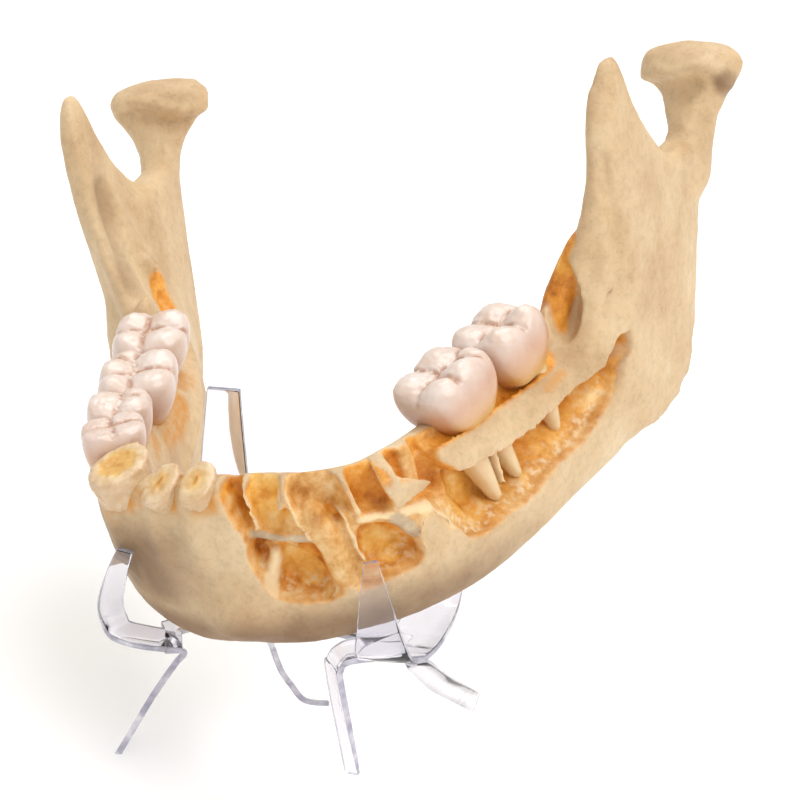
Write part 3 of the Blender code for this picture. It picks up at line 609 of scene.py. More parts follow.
# Where the cheek plate was ground away, on the cheek face laid flat: mm along it from the midline
# and mm up from the lower border. The outline is the opening under the bar, the slope the one above
# it. Each step gives a kind, a tint, a depth in mm, half a width for lines and tubes, and how many
# mm its edge takes; later steps go over earlier ones, and a tube has a round back.
opening = {
    "clear": 1.2,      # mm that the carving tool starts in front of the cheek
    "slope": [(33.6, 21.1), (35.1, 22.6), (37.9, 22.2), (41.6, 21.4), (45.3, 21.9), (48.0, 22.1), (52.3, 21.0),
              (55.7, 20.7), (58.2, 21.6), (59.8, 23.0), (61.0, 31.0), (33.4, 31.0)],
    "outline": [(1.2, 30.0), (1.1, 27.0), (1.0, 24.2), (1.7, 21.4), (3.0, 19.3), (3.5, 16.9), (3.3, 13.8),
                (4.1, 10.7), (5.4, 8.5), (8.2, 7.9), (12.0, 7.6), (16.0, 8.2), (21.0, 8.8), (25.0, 9.0),
                (26.8, 10.2), (26.3, 12.1), (26.6, 13.6), (28.4, 15.6), (30.3, 15.7), (31.8, 14.1),
                (32.8, 11.6), (33.7, 9.2), (36.4, 7.9), (41.2, 8.1), (48.2, 7.7), (54.0, 8.9), (58.7, 8.5),
                (62.6, 9.3), (66.3, 10.7), (68.4, 11.9), (69.6, 13.8), (71.2, 15.6), (73.6, 16.4),
                (73.8, 18.4), (71.2, 18.6), (69.3, 17.9), (66.5, 16.5), (62.0, 15.9), (57.8, 15.6),
                (52.3, 15.8), (44.4, 16.5), (39.8, 17.6), (38.1, 17.6), (36.0, 18.1), (35.1, 19.5),
                (33.7, 21.0), (33.6, 22.2), (34.2, 24.6), (35.0, 27.0), (35.2, 31.0)],
    "steps": [
        ("area", "tan", 3.0, 0, 0.9, "slope"),
        ("area", "tan", 2.4, 0, 0.6, "outline"),
        ("area", "amber", 5.0, 0, 1.4, [(3.2, 15.8), (5.2, 16.7), (8.6, 16.5), (12.2, 16.0), (13.6, 12.4),
                                        (14.2, 9.2), (12.4, 8.4), (7.6, 8.8), (5.2, 9.6), (4.0, 12.4)]),
        ("area", "amber", 4.8, 0, 1.4, [(19.2, 16.6), (22.6, 16.4), (25.2, 15.0), (26.6, 12.6), (26.4, 10.4),
                                        (24.6, 9.4), (20.6, 9.3), (18.8, 11.2), (18.4, 14.0)]),
        ("area", "yellow", 3.2, 0, 3.0, [(34.6, 22.0), (34.4, 12.0), (38.0, 9.0), (46.0, 9.3), (55.0, 10.2),
                                      (64.0, 10.8), (69.4, 13.0), (73.4, 17.4), (70.6, 18.4), (64.0, 16.2),
                                      (54.0, 15.6), (45.0, 16.6), (38.0, 17.8)]),
        ("area", "amber", 6.4, 0, 3.0, [(35.6, 21.0), (35.2, 14.4), (37.4, 10.6), (43.0, 9.6), (50.0, 10.6),
                                        (57.0, 11.6), (64.0, 12.4), (69.6, 14.6), (73.0, 17.4), (70.6, 18.6),
                                        (63.0, 17.2), (53.0, 16.8), (44.0, 17.6)]),
        ("area", "amber", 5.2, 0, 0.8, [(1.3, 31.0), (1.2, 24.0), (2.2, 20.8), (3.6, 18.6), (4.7, 21.0),
                                        (4.8, 31.0)]),
        ("area", "yellow", 4.4, 0, 1.8, [(5.2, 31.0), (5.2, 22.0), (6.0, 18.8), (8.2, 18.4), (10.0, 20.6),
                                         (10.6, 25.0), (11.0, 31.0)]),
        ("area", "tan", 5.0, 0, 2.4, [(11.4, 31.0), (11.2, 23.0), (12.6, 19.4), (16.0, 18.8), (18.0, 20.4),
                                      (18.4, 24.6), (17.6, 31.0)]),
        ("area", "amber", 5.0, 0, 2.2, [(19.2, 31.0), (19.4, 24.0), (20.2, 19.8), (22.6, 18.6), (24.8, 20.0),
                                      (25.0, 24.4), (23.2, 31.0)]),
        ("area", "amber", 5.6, 0, 2.2, [(25.8, 31.0), (26.6, 24.0), (26.8, 18.6), (29.4, 16.8), (33.4, 15.8),
                                        (35.0, 18.0), (34.0, 21.6), (35.0, 24.4), (35.4, 31.0)]),
        ("line", "yellow", 5.2, 1.6, 3.0, [(8.4, 12.0), (10.6, 10.6)]),
        ("line", "yellow", 5.0, 1.6, 3.0, [(21.6, 13.0), (23.4, 11.4)]),
        ("line", "yellow", 6.6, 1.0, 5.0, [(38.6, 12.6), (45.0, 11.6)]),
        ("line", "tan", 4.0, 1.0, 2.0, [(30.4, 26.0), (30.6, 22.0), (30.2, 18.6)]),
        ("tube", "pale", 2.0, 0.8, 0.8, [(6.4, 14.2), (5.4, 12.0), (4.7, 9.0)]),
        ("line", "tan", 3.4, 0.3, 0.8, [(5.0, 15.4), (7.6, 15.9), (10.0, 14.9)]),
        ("line", "amber", 5.6, 0.4, 1.2, [(13.2, 19.8), (15.6, 20.3), (17.6, 19.4)]),
        ("tube", "tan", 0.9, 1.5, 1.0, [(13.8, 20.3), (14.5, 17.9), (15.1, 13.6), (15.5, 8.0)]),
        ("line", "pale", 2.0, 0.25, 0.7, [(44.3, 15.8), (44.4, 13.2), (44.2, 11.2)]),
        ("line", "pale", 1.1, 0.1, 0.7, [(17.4, 20.3), (17.9, 16.8), (18.4, 13.6), (18.9, 12.0)]),
        ("line", "pale", 1.3, 0.1, 0.7, [(5.2, 31.0), (5.2, 27.0), (4.8, 23.1), (4.9, 20.6), (5.1, 18.7)]),
        ("line", "web", 1.7, 0.4, 1.0, [(4.4, 17.9), (6.4, 17.4), (8.6, 17.0), (10.8, 16.9), (12.2, 16.8)]),
        ("line", "pale", 0.9, 0.1, 0.7, [(11.6, 31.0), (11.3, 27.9), (10.4, 25.2), (9.5, 22.6)]),
        ("line", "pale", 0.5, 0.3, 0.8, [(9.5, 22.9), (9.5, 22.4)]),
        ("line", "pale", 1.0, 0.1, 0.7, [(10.5, 24.3), (11.1, 19.9), (12.1, 17.2)]),
        ("line", "pale", 0.9, 0.2, 0.8, [(17.9, 31.0), (17.7, 27.3), (18.9, 25.1), (19.1, 22.5), (19.7, 19.7)]),
        ("line", "pale", 1.3, 0.3, 1.2, [(19.6, 18.4), (22.2, 18.1), (24.9, 17.4), (27.0, 16.7), (30.0, 16.0)]),
        ("line", "web", 1.5, 0.8, 1.2, [(24.4, 16.8), (25.9, 15.3), (26.6, 13.6)]),
        ("line", "pale", 0.4, 0.25, 0.9, [(23.1, 31.0), (23.2, 27.8), (24.8, 25.6), (26.2, 23.6), (26.0, 21.1),
                                         (24.9, 18.6)]),
    ],
}


def farFromFlatLine(u, v, line, closed=False):
    near = np.full(len(u), 1e9)
    ends = line + [line[0]] if closed else line
    for (ax, ay), (bx, by) in zip(ends, ends[1:]):
        t = np.clip(((u - ax) * (bx - ax) + (v - ay) * (by - ay)) / ((bx - ax) ** 2 + (by - ay) ** 2), 0, 1)
        near = np.minimum(near, np.hypot(u - ax - t * (bx - ax), v - ay - t * (by - ay)))
    return near


# mm inside an outline, negative outside
def insideOutline(u, v, outline):
    inside = np.zeros(len(u), bool)
    for (ax, ay), (bx, by) in zip(outline, outline[1:] + outline[:1]):
        if ay != by:
            inside ^= ((ay > v) != (by > v)) & (u < (bx - ax) * (v - ay) / (by - ay) + ax)
    return np.where(inside, 1, -1) * farFromFlatLine(u, v, outline, closed=True)


# depth of the carving in mm and how much of each tint it has, at places on the flat cheek face
def carve(u, v):
    flat = np.stack([u, v, np.zeros(len(u))], axis=1) * mm
    wander = noiseVectors(flat, 1.5)
    uu, vv = u + 0.34 * wander[:, 0], v + 0.34 * wander[:, 1]
    depth = np.full(len(u), -opening["clear"])
    tints = {name: np.zeros(len(u)) for name in ("amber", "yellow", "tan", "pale", "web")}
    tints["pale"] += 1      # the cut edge of the cortex
    for kind, tint, deep, half, soft, line in opening["steps"]:
        if kind == "area":
            outline = opening[line] if line in ("outline", "slope") else line
            weight = smoothStep(-0.5 * soft, 0.5 * soft, insideOutline(uu, vv, outline))
        elif kind == "tube":
            away = np.clip(farFromFlatLine(uu, vv, line) / (half + 0.5 * soft), 0, 1)
            weight = np.sqrt(1 - away ** 2)
        else:
            weight = 1 - smoothStep(half, half + 0.5 * soft, farFromFlatLine(uu, vv, line))
        depth = depth + (deep - depth) * weight
        share = weight if kind == "area" else smoothStep(0.3, 0.9, weight)
        for name in tints:
            tints[name] = tints[name] + ((1.0 if name == tint else 0.0) - tints[name]) * share
    # nothing is cut outside the two outlines
    wandered = np.maximum(insideOutline(uu, vv, opening["outline"]), insideOutline(uu, vv, opening["slope"]))
    depth = (depth + opening["clear"]) * smoothStep(-0.3, 0.35, wandered) - opening["clear"]
    # the tongue side keeps its height: less deep near the rim
    depth = np.minimum(depth, 5.1 + 0.2 * np.clip(26.0 - v, 0, 20))
    edge = insideOutline(u, v, opening["outline"])
    crumbs = smoothStep(-0.1, 0.4, edge) * smoothStep(2.8, 0.9, edge) * smoothStep(16.0, 12.0, v)
    return depth, tints, crumbs, np.maximum(edge, insideOutline(u, v, opening["slope"]))


# the carving tool: one closed solid between the carved floor and a sheet in front of the cheek
alongSteps = np.arange(-1.0, 76.0, 0.32)
upSteps = np.linspace(-0.06, 1.16, 96)
flatU, flatF = [grid.ravel() for grid in np.meshgrid(alongSteps, upSteps, indexing="ij")]
flatS = np.interp(flatU, cheekAlong, stationSteps)
flatV = flatF * np.interp(flatS, stationSteps, cheekHeight)
floorDepth, _, crumbs, _ = carve(flatU, flatV)
flatPoints = np.stack([flatU, flatV, floorDepth * 0.4], axis=1) * mm
crumbCells = noiseAt(flatPoints, 1.0, "cells")
crumbNoise = noiseAt(flatPoints, 0.8)
opened = smoothStep(0.4, 1.2, floorDepth)
floorDepth = floorDepth - crumbs * (1.0 * crumbCells - 0.45 + 0.3 * crumbNoise)
floorDepth += opened * (1 - crumbs) * (0.10 * crumbNoise + 0.16 * noiseAt(flatPoints, 2.4))
backSheet = archPlace(flatS, flatF, floorDepth * mm / unit)
frontSheet = archPlace(flatS, flatF, np.full(len(flatS), -3.4))
columns, rows = len(alongSteps), len(upSteps)
count = columns * rows
toolFaces = []
for i in range(columns - 1):
    for k in range(rows - 1):
        a = i * rows + k
        quad = (a, a + rows, a + rows + 1, a + 1)
        toolFaces += [quad, tuple(count + c for c in reversed(quad))]
rim = ([i * rows for i in range(columns)] + [(columns - 1) * rows + k for k in range(1, rows)]
       + [i * rows + rows - 1 for i in range(columns - 2, -1, -1)] + list(range(rows - 2, 0, -1)))
toolFaces += [(a, b, count + b, count + a) for a, b in zip(rim, rim[1:] + rim[:1])]
tool = meshPiece("carving_tool", np.concatenate([backSheet, frontSheet]), toolFaces, jawPlace)
weldPiece(tool)
combine(jaw, tool, "DIFFERENCE")
print("cheek opened:", len(jaw.data.polygons), "faces")

# hollows behind the last molars and the bar, and holes of the nerves: line in mm and radii
boneBites = {
    "bar_trench": ([(28.3, -26.3, 48.9), (29.6, -23.0, 49.4), (31.3, -18.3, 50.1), (32.4, -13.4, 51.0),
                    (33.7, -8.7, 51.7), (34.8, -4.7, 52.5), (35.7, -1.6, 53.4)],
                   [1.2, 1.5, 1.5, 1.4, 1.4, 1.4, 1.2]),
    "left_nerve_hole": ([(37.4, 15.3, 66.8), (39.3, 14.4, 64.9), (40.6, 13.6, 62.5)], [1.3, 1.3, 1.0]),
    "right_nerve_hole": ([(-30.7, 15.3, 55.7), (-32.9, 14.6, 53.8), (-34.3, 13.9, 51.4)], [1.3, 1.3, 1.0]),
    "right_chin_hole": ([(-21.9, -24.2, 31.3), (-19.6, -23.0, 30.4), (-17.3, -22.4, 29.5)], [1.1, 1.0, 0.8]),
    "right_crypt": ([(-31.0, 14.0, 50.9), (-29.4, 13.4, 48.8), (-27.8, 12.6, 47.2)], [0.9, 1.6, 1.9]),
    "right_pit": ([(-31.2, 13.6, 52.6), (-32.2, 13.4, 52.2)], [0.6, 0.5]),
}
for name, (line, radii) in boneBites.items():
    combine(jaw, barSolid(name, line, radii), "DIFFERENCE")
# the pointed flake that stands out beside the premolar's socket
fin = flakeSolid("cheek_fin", [
    (25.7, -37.9, 50.9), (27.2, -35.8, 49.2), (28.4, -34.0, 47.0), (31.2, -29.5, 45.3), (30.6, -30.9, 44.4),
    (28.4, -34.3, 42.7), (27.2, -35.2, 45.0)], (-0.8, 0.5, 0.0))
joinPieces(jaw, [fin])
applyModifier(jaw, "REMESH", mode="VOXEL", voxel_size=boneShape["voxel"], use_smooth_shade=True)
applyModifier(jaw, "SMOOTH", factor=0.5, iterations=boneShape["smooth"])
print("bone joined:", len(jaw.data.polygons), "faces")

# small relief of the skin, then fewer faces where it is flat
points = readPoints(jaw)
normals = readPoints(jaw, "normal")
drawn = toJaw(points)
station, depth, _ = archDepth(drawn)
inBody = (station > -0.9) & (station < 9.6)
skin = np.where(inBody, smoothStep(0.8, 0.3, depth), 1.0)
relief = skin * (0.08 * noiseAt(points, 4.5) + 0.02 * noiseAt(points, 0.9))
# rough at the angles, where the chewing muscles held
angles = smoothStep(24.0, 12.0, drawn[:, 2]) * smoothStep(54.0, 66.0, drawn[:, 1])
relief = relief + angles * 0.22 * noiseAt(points, 2.6)
writePoints(jaw, points + normals * (relief * mm)[:, None])
applyModifier(jaw, "DECIMATE", ratio=boneShape["keep"])

# ridges and hollows of the skin: line in mm, width in mm and height in mm
boneStrokes = {
    "leftCondyleCrest": ([(36.6, 38.5, 84.7), (39.7, 35.8, 86.1), (43.0, 34.7, 86.5), (45.4, 34.5, 87.7),
                          (47.1, 34.7, 87.9), (48.9, 34.9, 86.9), (49.7, 35.9, 85.0)], 1.1, 0.75),
    "leftCondyleHollow": ([(38.2, 37.3, 83.0), (40.4, 35.7, 83.7), (43.1, 34.7, 84.0), (45.0, 34.5, 84.8)],
                          1.7, -1.35),
    "leftNeckRidge": ([(46.4, 34.5, 85.9), (45.6, 34.5, 83.6), (44.9, 34.1, 81.4), (44.2, 33.2, 79.5)],
                      1.0, 0.35),
    "leftNeckDip": ([(48.0, 35.1, 83.3), (47.4, 34.8, 81.2), (46.6, 33.8, 79.6)], 1.5, -0.5),
    "leftFrontRidge": ([(39.6, 5.8, 89.4), (40.0, 4.7, 84.9), (40.6, 4.6, 80.8), (41.1, 4.6, 76.6),
                        (41.9, 5.0, 71.1), (42.0, 5.3, 67.6), (42.0, 5.1, 65.1)], 1.1, 0.5),
    "leftFrontGroove": ([(41.4, 4.7, 80.8), (42.4, 5.1, 76.7), (43.1, 5.8, 73.1), (43.5, 6.4, 68.8),
                         (43.5, 6.6, 64.5), (43.3, 5.6, 61.2)], 1.3, -0.9),
    "rightCondyleCrest": ([(-48.7, 34.9, 72.6), (-46.7, 34.7, 73.5), (-45.0, 34.7, 73.9), (-42.3, 34.9, 73.5),
                           (-39.2, 36.0, 72.6), (-37.3, 37.4, 72.6), (-36.1, 39.7, 73.0)], 1.1, 0.8),
    "rightCondyleHollow": ([(-47.5, 34.6, 70.9), (-44.5, 34.5, 71.6), (-41.9, 34.8, 71.3), (-39.2, 35.9, 70.3),
                            (-37.4, 37.6, 70.6)], 1.5, -1.45),
    "rightGroove": ([(-36.8, 8.2, 67.3), (-35.3, 7.7, 63.0), (-33.0, 6.8, 58.6), (-30.4, 4.6, 54.6)],
                    2.3, -1.3),
    "leftInnerLine": ([(33.3, 7.8, 54.1), (29.7, 1.4, 49.6), (27.2, -5.9, 45.5), (26.1, -13.3, 41.6),
                       (24.7, -20.6, 37.2)], 1.3, 0.8),
    "rightInnerLine": ([(-23.8, 7.8, 45.2), (-19.0, 1.4, 42.0), (-15.3, -5.9, 38.8), (-13.1, -13.3, 35.5),
                        (-10.4, -20.6, 31.7)], 1.3, 0.8),
    "leftTongueFlake": ([(38.9, 12.4, 67.0), (38.8, 13.2, 64.9)], 0.9, 1.3),
    "rightTongueFlake": ([(-33.2, 12.4, 55.7), (-32.5, 13.2, 53.8)], 0.9, 1.3),
    "leftNerveGroove": ([(38.7, 13.1, 64.4), (37.6, 11.4, 60.4), (36.0, 9.6, 57.0)], 0.8, -0.6),
    "rightNerveGroove": ([(-32.3, 13.1, 53.2), (-30.6, 11.8, 50.4), (-28.4, 10.2, 47.6)], 0.8, -0.6),
    "chinSpines": ([(6.3, -32.0, 28.5), (8.0, -32.2, 28.8), (9.8, -32.1, 29.0)], 1.2, 1.1),
    "rightOuterRidge": ([(-37.2, 10.3, 49.0), (-33.7, 4.4, 43.0), (-28.8, -1.7, 38.0), (-26.4, -8.0, 34.0)],
                        2.2, 0.8),
    "spurHollow": ([(30.5, -30.8, 37.3), (31.0, -29.8, 39.4), (31.9, -28.2, 39.7), (32.8, -26.7, 38.6)],
                   1.5, -0.9),
    "leftCrack": ([(45.9, 18.1, 68.6), (46.0, 17.5, 65.2), (46.3, 19.6, 61.0), (46.8, 20.6, 56.3)], 0.5, -0.35),
    "rightInnerRidge": ([(-37.0, 11.0, 66.3), (-35.3, 12.4, 60.8), (-32.9, 14.0, 55.3), (-31.5, 15.7, 51.5)],
                        1.6, 0.5),
}
# yellow stains: line in mm, width in mm and strength
boneStains = {
    "bar": ([(37.81, -4.47, 50.82), (38.62, -1.14, 51.86)], 0.8, 0.5),
    "tongueFirst": ([(-14.4, -13.1, 40.8), (-16.0, -8.6, 42.1)], 2.2, 0.8),
    "tongueSecond": ([(-13.2, -18.3, 40.6), (-13.6, -16.0, 40.6)], 1.8, 0.6),
}


# a line in mm down the lip side of the right half, at a station, between two shares of the height
def downRight(s, high, low, inward, count):
    line = archPlace(np.full(count, s), np.linspace(high, low, count), np.full(count, inward))
    return [tuple(np.array(jawPlace @ Vector(p)) / mm) for p in line * np.array((-1, 1, 1))]


for s, name in ((0.46, "Central"), (1.25, "Lateral"), (2.3, "Canine")):      # roots under the broken teeth
    boneStrokes["root" + name] = (downRight(s, 0.98, 0.60, 0.4, 5), 1.6, 1.1)
for s, name in ((0.04, "Middle"), (0.86, "Incisors"), (1.72, "Canine")):     # gum line between them
    boneStains["gum" + name] = (downRight(s, 1.02, 0.90, 0.2, 4), 1.4, 1.0)
points = readPoints(jaw)
normals = readPoints(jaw, "normal")
for line, width, rise in boneStrokes.values():
    away = farFromLine(points, line) / mm
    points = points + normals * (rise * mm * np.exp(-(away / width) ** 2))[:, None]
writePoints(jaw, points)

# masks: how far each point lies under the old skin, and the tints of the carving there
points = readPoints(jaw)
drawn = toJaw(points)
station, depth, height = archDepth(drawn)
drawnNormals = readPoints(jaw, "normal") @ np.array(jawPlaceBack)[:3, :3].T
drawnNormals /= np.linalg.norm(drawnNormals, axis=1)[:, None] + 1e-9
slopes = []
for axis in range(3):
    moved = drawn.copy()
    moved[:, axis] += 0.3
    slopes.append(depth - archDepth(moved)[1])
slopes = np.array(slopes).T
slopes /= np.linalg.norm(slopes, axis=1)[:, None] + 1e-9
agree = (slopes * drawnNormals).sum(1)
along = np.interp(station, stationSteps, cheekAlong)
up = height * np.interp(station, stationSteps, cheekHeight)
floorDepth, tints, crumbs, edge = carve(along, up)
near = smoothStep(-1.4, -0.2, edge) * (station > -0.9) * (station < 9.7)
opened = np.maximum(smoothStep(0.35, 0.9, depth), smoothStep(0.1, 0.4, depth) * smoothStep(0.8, 0.4, agree))
opened = opened * near
cryptLines = {
    "left": ([(38.0, 5.6, 68.6), (37.2, 5.4, 65.8), (36.4, 5.1, 63.0), (35.6, 4.8, 60.4), (35.1, 4.6, 57.6),
              (35.4, 4.4, 54.6)], 2.3),
    "trench": (boneBites["bar_trench"][0], 2.0),
    "right": ([(-31.2, 13.8, 52.4), (-29.4, 13.4, 48.8), (-27.8, 12.6, 47.2)], 2.0),
}
crypts = np.zeros(len(points))
for line, width in cryptLines.values():
    crypts = np.maximum(crypts, smoothStep(1.15, 0.8, farFromLine(points, line) / mm / width))
rough = noiseAt(points, 0.9)
broad = noiseAt(points, 3.0, shift=7.0)
# the sockets' back walls stay tinted right up to the rim
turned = np.radians(np.interp(np.abs(station), stationSteps, stationTable[:, 0]))
facing = drawnNormals[:, 0] * np.sin(turned) - drawnNormals[:, 1] * np.cos(turned)
opened = np.maximum(opened, near * smoothStep(0.86, 0.93, height) * smoothStep(2.0, 3.2, floorDepth)
                    * smoothStep(0.25, 0.6, facing))
pale = opened * np.maximum(0.85 * tints["pale"], 0.7 * crumbs * smoothStep(0.02, 0.4, rough))
writeMask(jaw, "cavity", np.maximum(opened, crypts))
writeMask(jaw, "pale", pale * (1 - crypts))
writeMask(jaw, "tan", np.clip(0.8 * tints["tan"] + 0.2 * broad, 0, 1) * opened)
writeMask(jaw, "yellow", np.clip(tints["yellow"] * (1 + 0.4 * broad), 0, 1) * opened)
writeMask(jaw, "web", tints["web"] * opened)

# amber stain where the gum once held the teeth; painted shade with some brown patina low on the chin,
# painted shade in the right ramus's groove, and brown patina at the left condyle's outer end
stain = np.zeros(len(points))
for x, y, z, size in [(-32.2, 48.8, 28.8, 6.6), (-27.8, 35.6, 29.2, 7.0), (-25.2, 24.2, 29.8, 5.4),
                      (-21.5, 16.2, 30.4, 5.2), (-17.0, 9.0, 30.8, 4.6), (-9.6, 7.7, 31.4, 4.0),
                      (-3.6, 6.9, 31.6, 4.0), (0.4, 6.9, 31.6, 2.4)]:
    away = np.linalg.norm((drawn - np.array((x, y, z))) * np.array((1, 1, 0.8)), axis=1)
    stain = np.maximum(stain, smoothStep(size + 1.0, size, away) * smoothStep(-0.2, 0.4, broad) * 0.7)
for line, width, strength in boneStains.values():
    away = farFromLine(points, line) / mm / width
    stain = np.maximum(stain, smoothStep(1.3, 0.5, away) * np.clip(strength + 0.5 * rough, 0, 1))
# painted shade with some brown patina: darker low on the chin's front and along its lower border
shade_and_patina = 0.8 * smoothStep(31.0, 22.0, drawn[:, 2]) * smoothStep(3.2, 1.4, np.abs(station + 3.0))
shade_and_patina *= smoothStep(6.0, 15.0, drawn[:, 2])
shade_and_patina = np.maximum(shade_and_patina, smoothStep(14.0, 7.0, drawn[:, 2]) * smoothStep(6.5, 3.0, np.abs(station)))
outward = drawnNormals[:, 0] * np.sign(station) * np.sin(turned) - drawnNormals[:, 1] * np.cos(turned)
shade_and_patina *= smoothStep(-0.4, 0.1, outward)
# painted shade in the hollow of the right ramus's groove
groove = farFromLine(points, boneStrokes["rightGroove"][0]) / mm
pole = farFromLine(points, [(49.4, 35.3, 86.0), (50.0, 36.9, 84.5)]) / mm      # outer end of the left condyle
shade_and_patina = np.maximum(shade_and_patina, 0.6 * smoothStep(1.3, 0.2, groove / 2.8))
shade_and_patina = np.maximum(shade_and_patina, smoothStep(2.4, 0.8, pole))
writeMask(jaw, "stain", stain * (1 - opened))
writeMask(jaw, "shade_and_patina", np.clip(shade_and_patina * (0.95 + 0.35 * noiseAt(points, 9.0)), 0, 1) * (1 - opened))
finishPiece(jaw, bone, "mandible")
print("bone finished:", len(jaw.data.polygons), "faces")


# Crowns in drawing units above the neck: half length and half width, squareness of the outline,
# cusps (towards the back, towards the cheek, height), grooves of the sides (place, side) and roots
# (place, half widths, length, drift of the tip).
crownShapes = {
    "firstMolar": {
        "half": (7.2, 6.3), "corner": 3.6, "table": 9.1,
        "cusps": [(-4.2, 3.4, 9.2), (0.9, 3.9, 9.1), (5.2, 1.9, 8.3), (-4.0, -3.6, 9.6), (3.2, -3.7, 9.3)],
        "grooves": [(-1.7, 1), (3.4, 1), (-0.5, -1)],
        "roots": [(-3.0, -0.4, 2.6, 3.4, 14.6, 2.6, 1.0), (3.0, -0.4, 2.4, 3.2, 13.0, 2.6, 1.0)],
    },
    "secondMolar": {
        "half": (6.8, 6.2), "corner": 3.3, "table": 9.1,
        "cusps": [(-3.7, 3.3, 9.1), (3.5, 3.2, 8.8), (-3.7, -3.4, 9.5), (3.5, -3.3, 9.1)],
        "grooves": [(-0.1, 1), (-0.1, -1)],
        "roots": [(-2.8, -0.4, 2.5, 3.3, 12.0, 2.0, 1.0), (2.8, -0.4, 2.2, 3.1, 11.0, 2.0, 1.0)],
    },
    "secondPremolar": {
        "half": (4.5, 5.2), "corner": 2.7, "table": 8.8,
        "cusps": [(0.0, 2.7, 9.2), (-1.7, -2.7, 8.5), (2.1, -2.6, 8.1)],
        "grooves": [(0.3, -1)],
        "roots": [(0.0, 0.0, 2.6, 3.4, 14.0, 1.0, 0.0)],
    },
    "firstPremolar": {
        "half": (4.4, 5.0), "corner": 3.0, "table": 7.1,
        "cusps": [(-2.1, 2.7, 8.1), (2.1, 2.7, 8.0), (-2.0, -2.7, 7.9), (2.0, -2.7, 7.8)],
        "grooves": [],
        "roots": [(0.0, 0.0, 2.5, 3.2, 14.0, 1.0, 0.0)],
    },
}
# how every crown is rounded: fall of a cusp, where it is widest and how it narrows below and above,
# the side grooves, and how softly cusps, table and sides run into each other (higher is sharper)
crownProfile = {
    "cuspLift": 0.35, "cuspFall": 0.55, "cuspBlunt": 0.7, "cuspBlend": 2.8, "tableBlend": 3,
    "widestAt": 5.4, "narrowBelow": 0.0082, "narrowAbove": 0.011,
    "grooveDepth": 0.075, "grooveWidth": 0.9, "sideSlope": 6.0, "edgeBlend": 2.3, "neck": 2.2,
}
# the bare roots of the left side, as the photo has them
bareRoots = {
    "left_first_molar": [(2.6, 0.2, 2.4, 3.5, 14.4, 0.4, 1.5), (-2.9, 0.2, 2.7, 3.5, 14.2, 0.1, 1.7)],
    "left_second_molar": [(2.7, 0.0, 2.4, 3.3, 12.4, -1.7, 2.0), (-2.6, -1.0, 2.2, 2.8, 8.0, 0.4, 0.0)],
}
# shape, place of the neck, heading, lean to the tongue, tip towards the chin
toothPlaces = {
    "right_second_molar": ("secondMolar", (-31.9, 49.0, 29.1), 73, 8, 4),
    "right_first_molar": ("firstMolar", (-27.8, 35.4, 28.8), 70, 8, 4),
    "right_second_premolar": ("secondPremolar", (-24.7, 24.0, 29.6), 66, 4, 2),
    "right_first_premolar": ("firstPremolar", (-21.6, 16.2, 30.2), 58, 2, 0),
    "left_first_molar": ("firstMolar", (27.8, 34.8, 28.2), 70, 8, 10),
    "left_second_molar": ("secondMolar", (32.0, 48.2, 28.8), 73, 8, 6),
}


def toothFrame(at, heading, lean, tip):
    side = 1.0 if at[0] > 0 else -1.0
    angle = math.radians(heading)
    cheek = Vector((math.sin(angle) * side, -math.cos(angle), 0.0))
    up = Vector((0.0, 0.0, 1.0))
    base = Matrix((cheek.cross(up), cheek, up)).transposed()
    leaned = base @ Matrix.Rotation(math.radians(lean), 3, "X")
    leaned = leaned @ Matrix.Rotation(math.radians(tip) * side, 3, "Y")
    return jawPlace @ Matrix.Translation(Vector(at)) @ leaned.to_4x4()


# rounded cones of the cusps, one row each
def cuspHeights(points, crown, flip):
    rows = []
    for x, y, tip in crown["cusps"]:
        away = np.sqrt((points[:, 0] * flip - x) ** 2 + (points[:, 1] - y) ** 2 + crownProfile["cuspBlunt"])
        rows.append(tip + crownProfile["cuspLift"] - crownProfile["cuspFall"] * away)
    return np.array(rows)


# room inside a crown: above 0 inside its sides, its biting face and its neck
def crownRoom(points, crown, flip):
    shape = crownProfile
    x, y, z = points[:, 0] * flip, points[:, 1] + 0.10 * (points[:, 2] - 3), points[:, 2]
    narrow = np.where(z < shape["widestAt"], shape["narrowBelow"], shape["narrowAbove"])
    wide = np.clip(1 - narrow * (z - shape["widestAt"]) ** 2, 0.3, 1)
    for place, side in crown["grooves"]:
        dip = np.exp(-((x - place) / shape["grooveWidth"]) ** 2)
        wide = wide - shape["grooveDepth"] * dip * smoothStep(1.5, 6.5, z) * (y * side > 0)
    a, b = crown["half"]
    n = crown["corner"]
    sides = (wide - ((np.abs(x) / a) ** n + (np.abs(y) / b) ** n) ** (1 / n)) * shape["sideSlope"]
    blend, flat, edge = shape["cuspBlend"], shape["tableBlend"], shape["edgeBlend"]
    top = np.log(np.exp(blend * cuspHeights(points, crown, flip)).sum(0)) / blend
    biting = -np.log(np.exp(-flat * top) + np.exp(-flat * np.full(len(top), crown["table"]))) / flat - z
    rooms = np.stack([edge * sides, edge * biting, edge * (z + shape["neck"])])
    return -np.log(np.exp(-np.clip(rooms, -30, 30)).sum(0)) / edge


# a ball whose skin is drawn in or out, along its own spokes, to the crown
def crownBall(name, crown, flip):
    ball = addBall(name, 112, 84)
    spokes = readPoints(ball)
    spokes /= np.linalg.norm(spokes, axis=1)[:, None]
    centre = np.array((0.0, 0.0, 3.4))
    low, high = np.full(len(spokes), 0.5), np.full(len(spokes), 14.0)
    for _ in range(26):
        reach = 0.5 * (low + high)
        inside = crownRoom(centre + spokes * reach[:, None], crown, flip) > 0
        low, high = np.where(inside, reach, low), np.where(inside, high, reach)
    writePoints(ball, centre + spokes * low[:, None])
    return ball


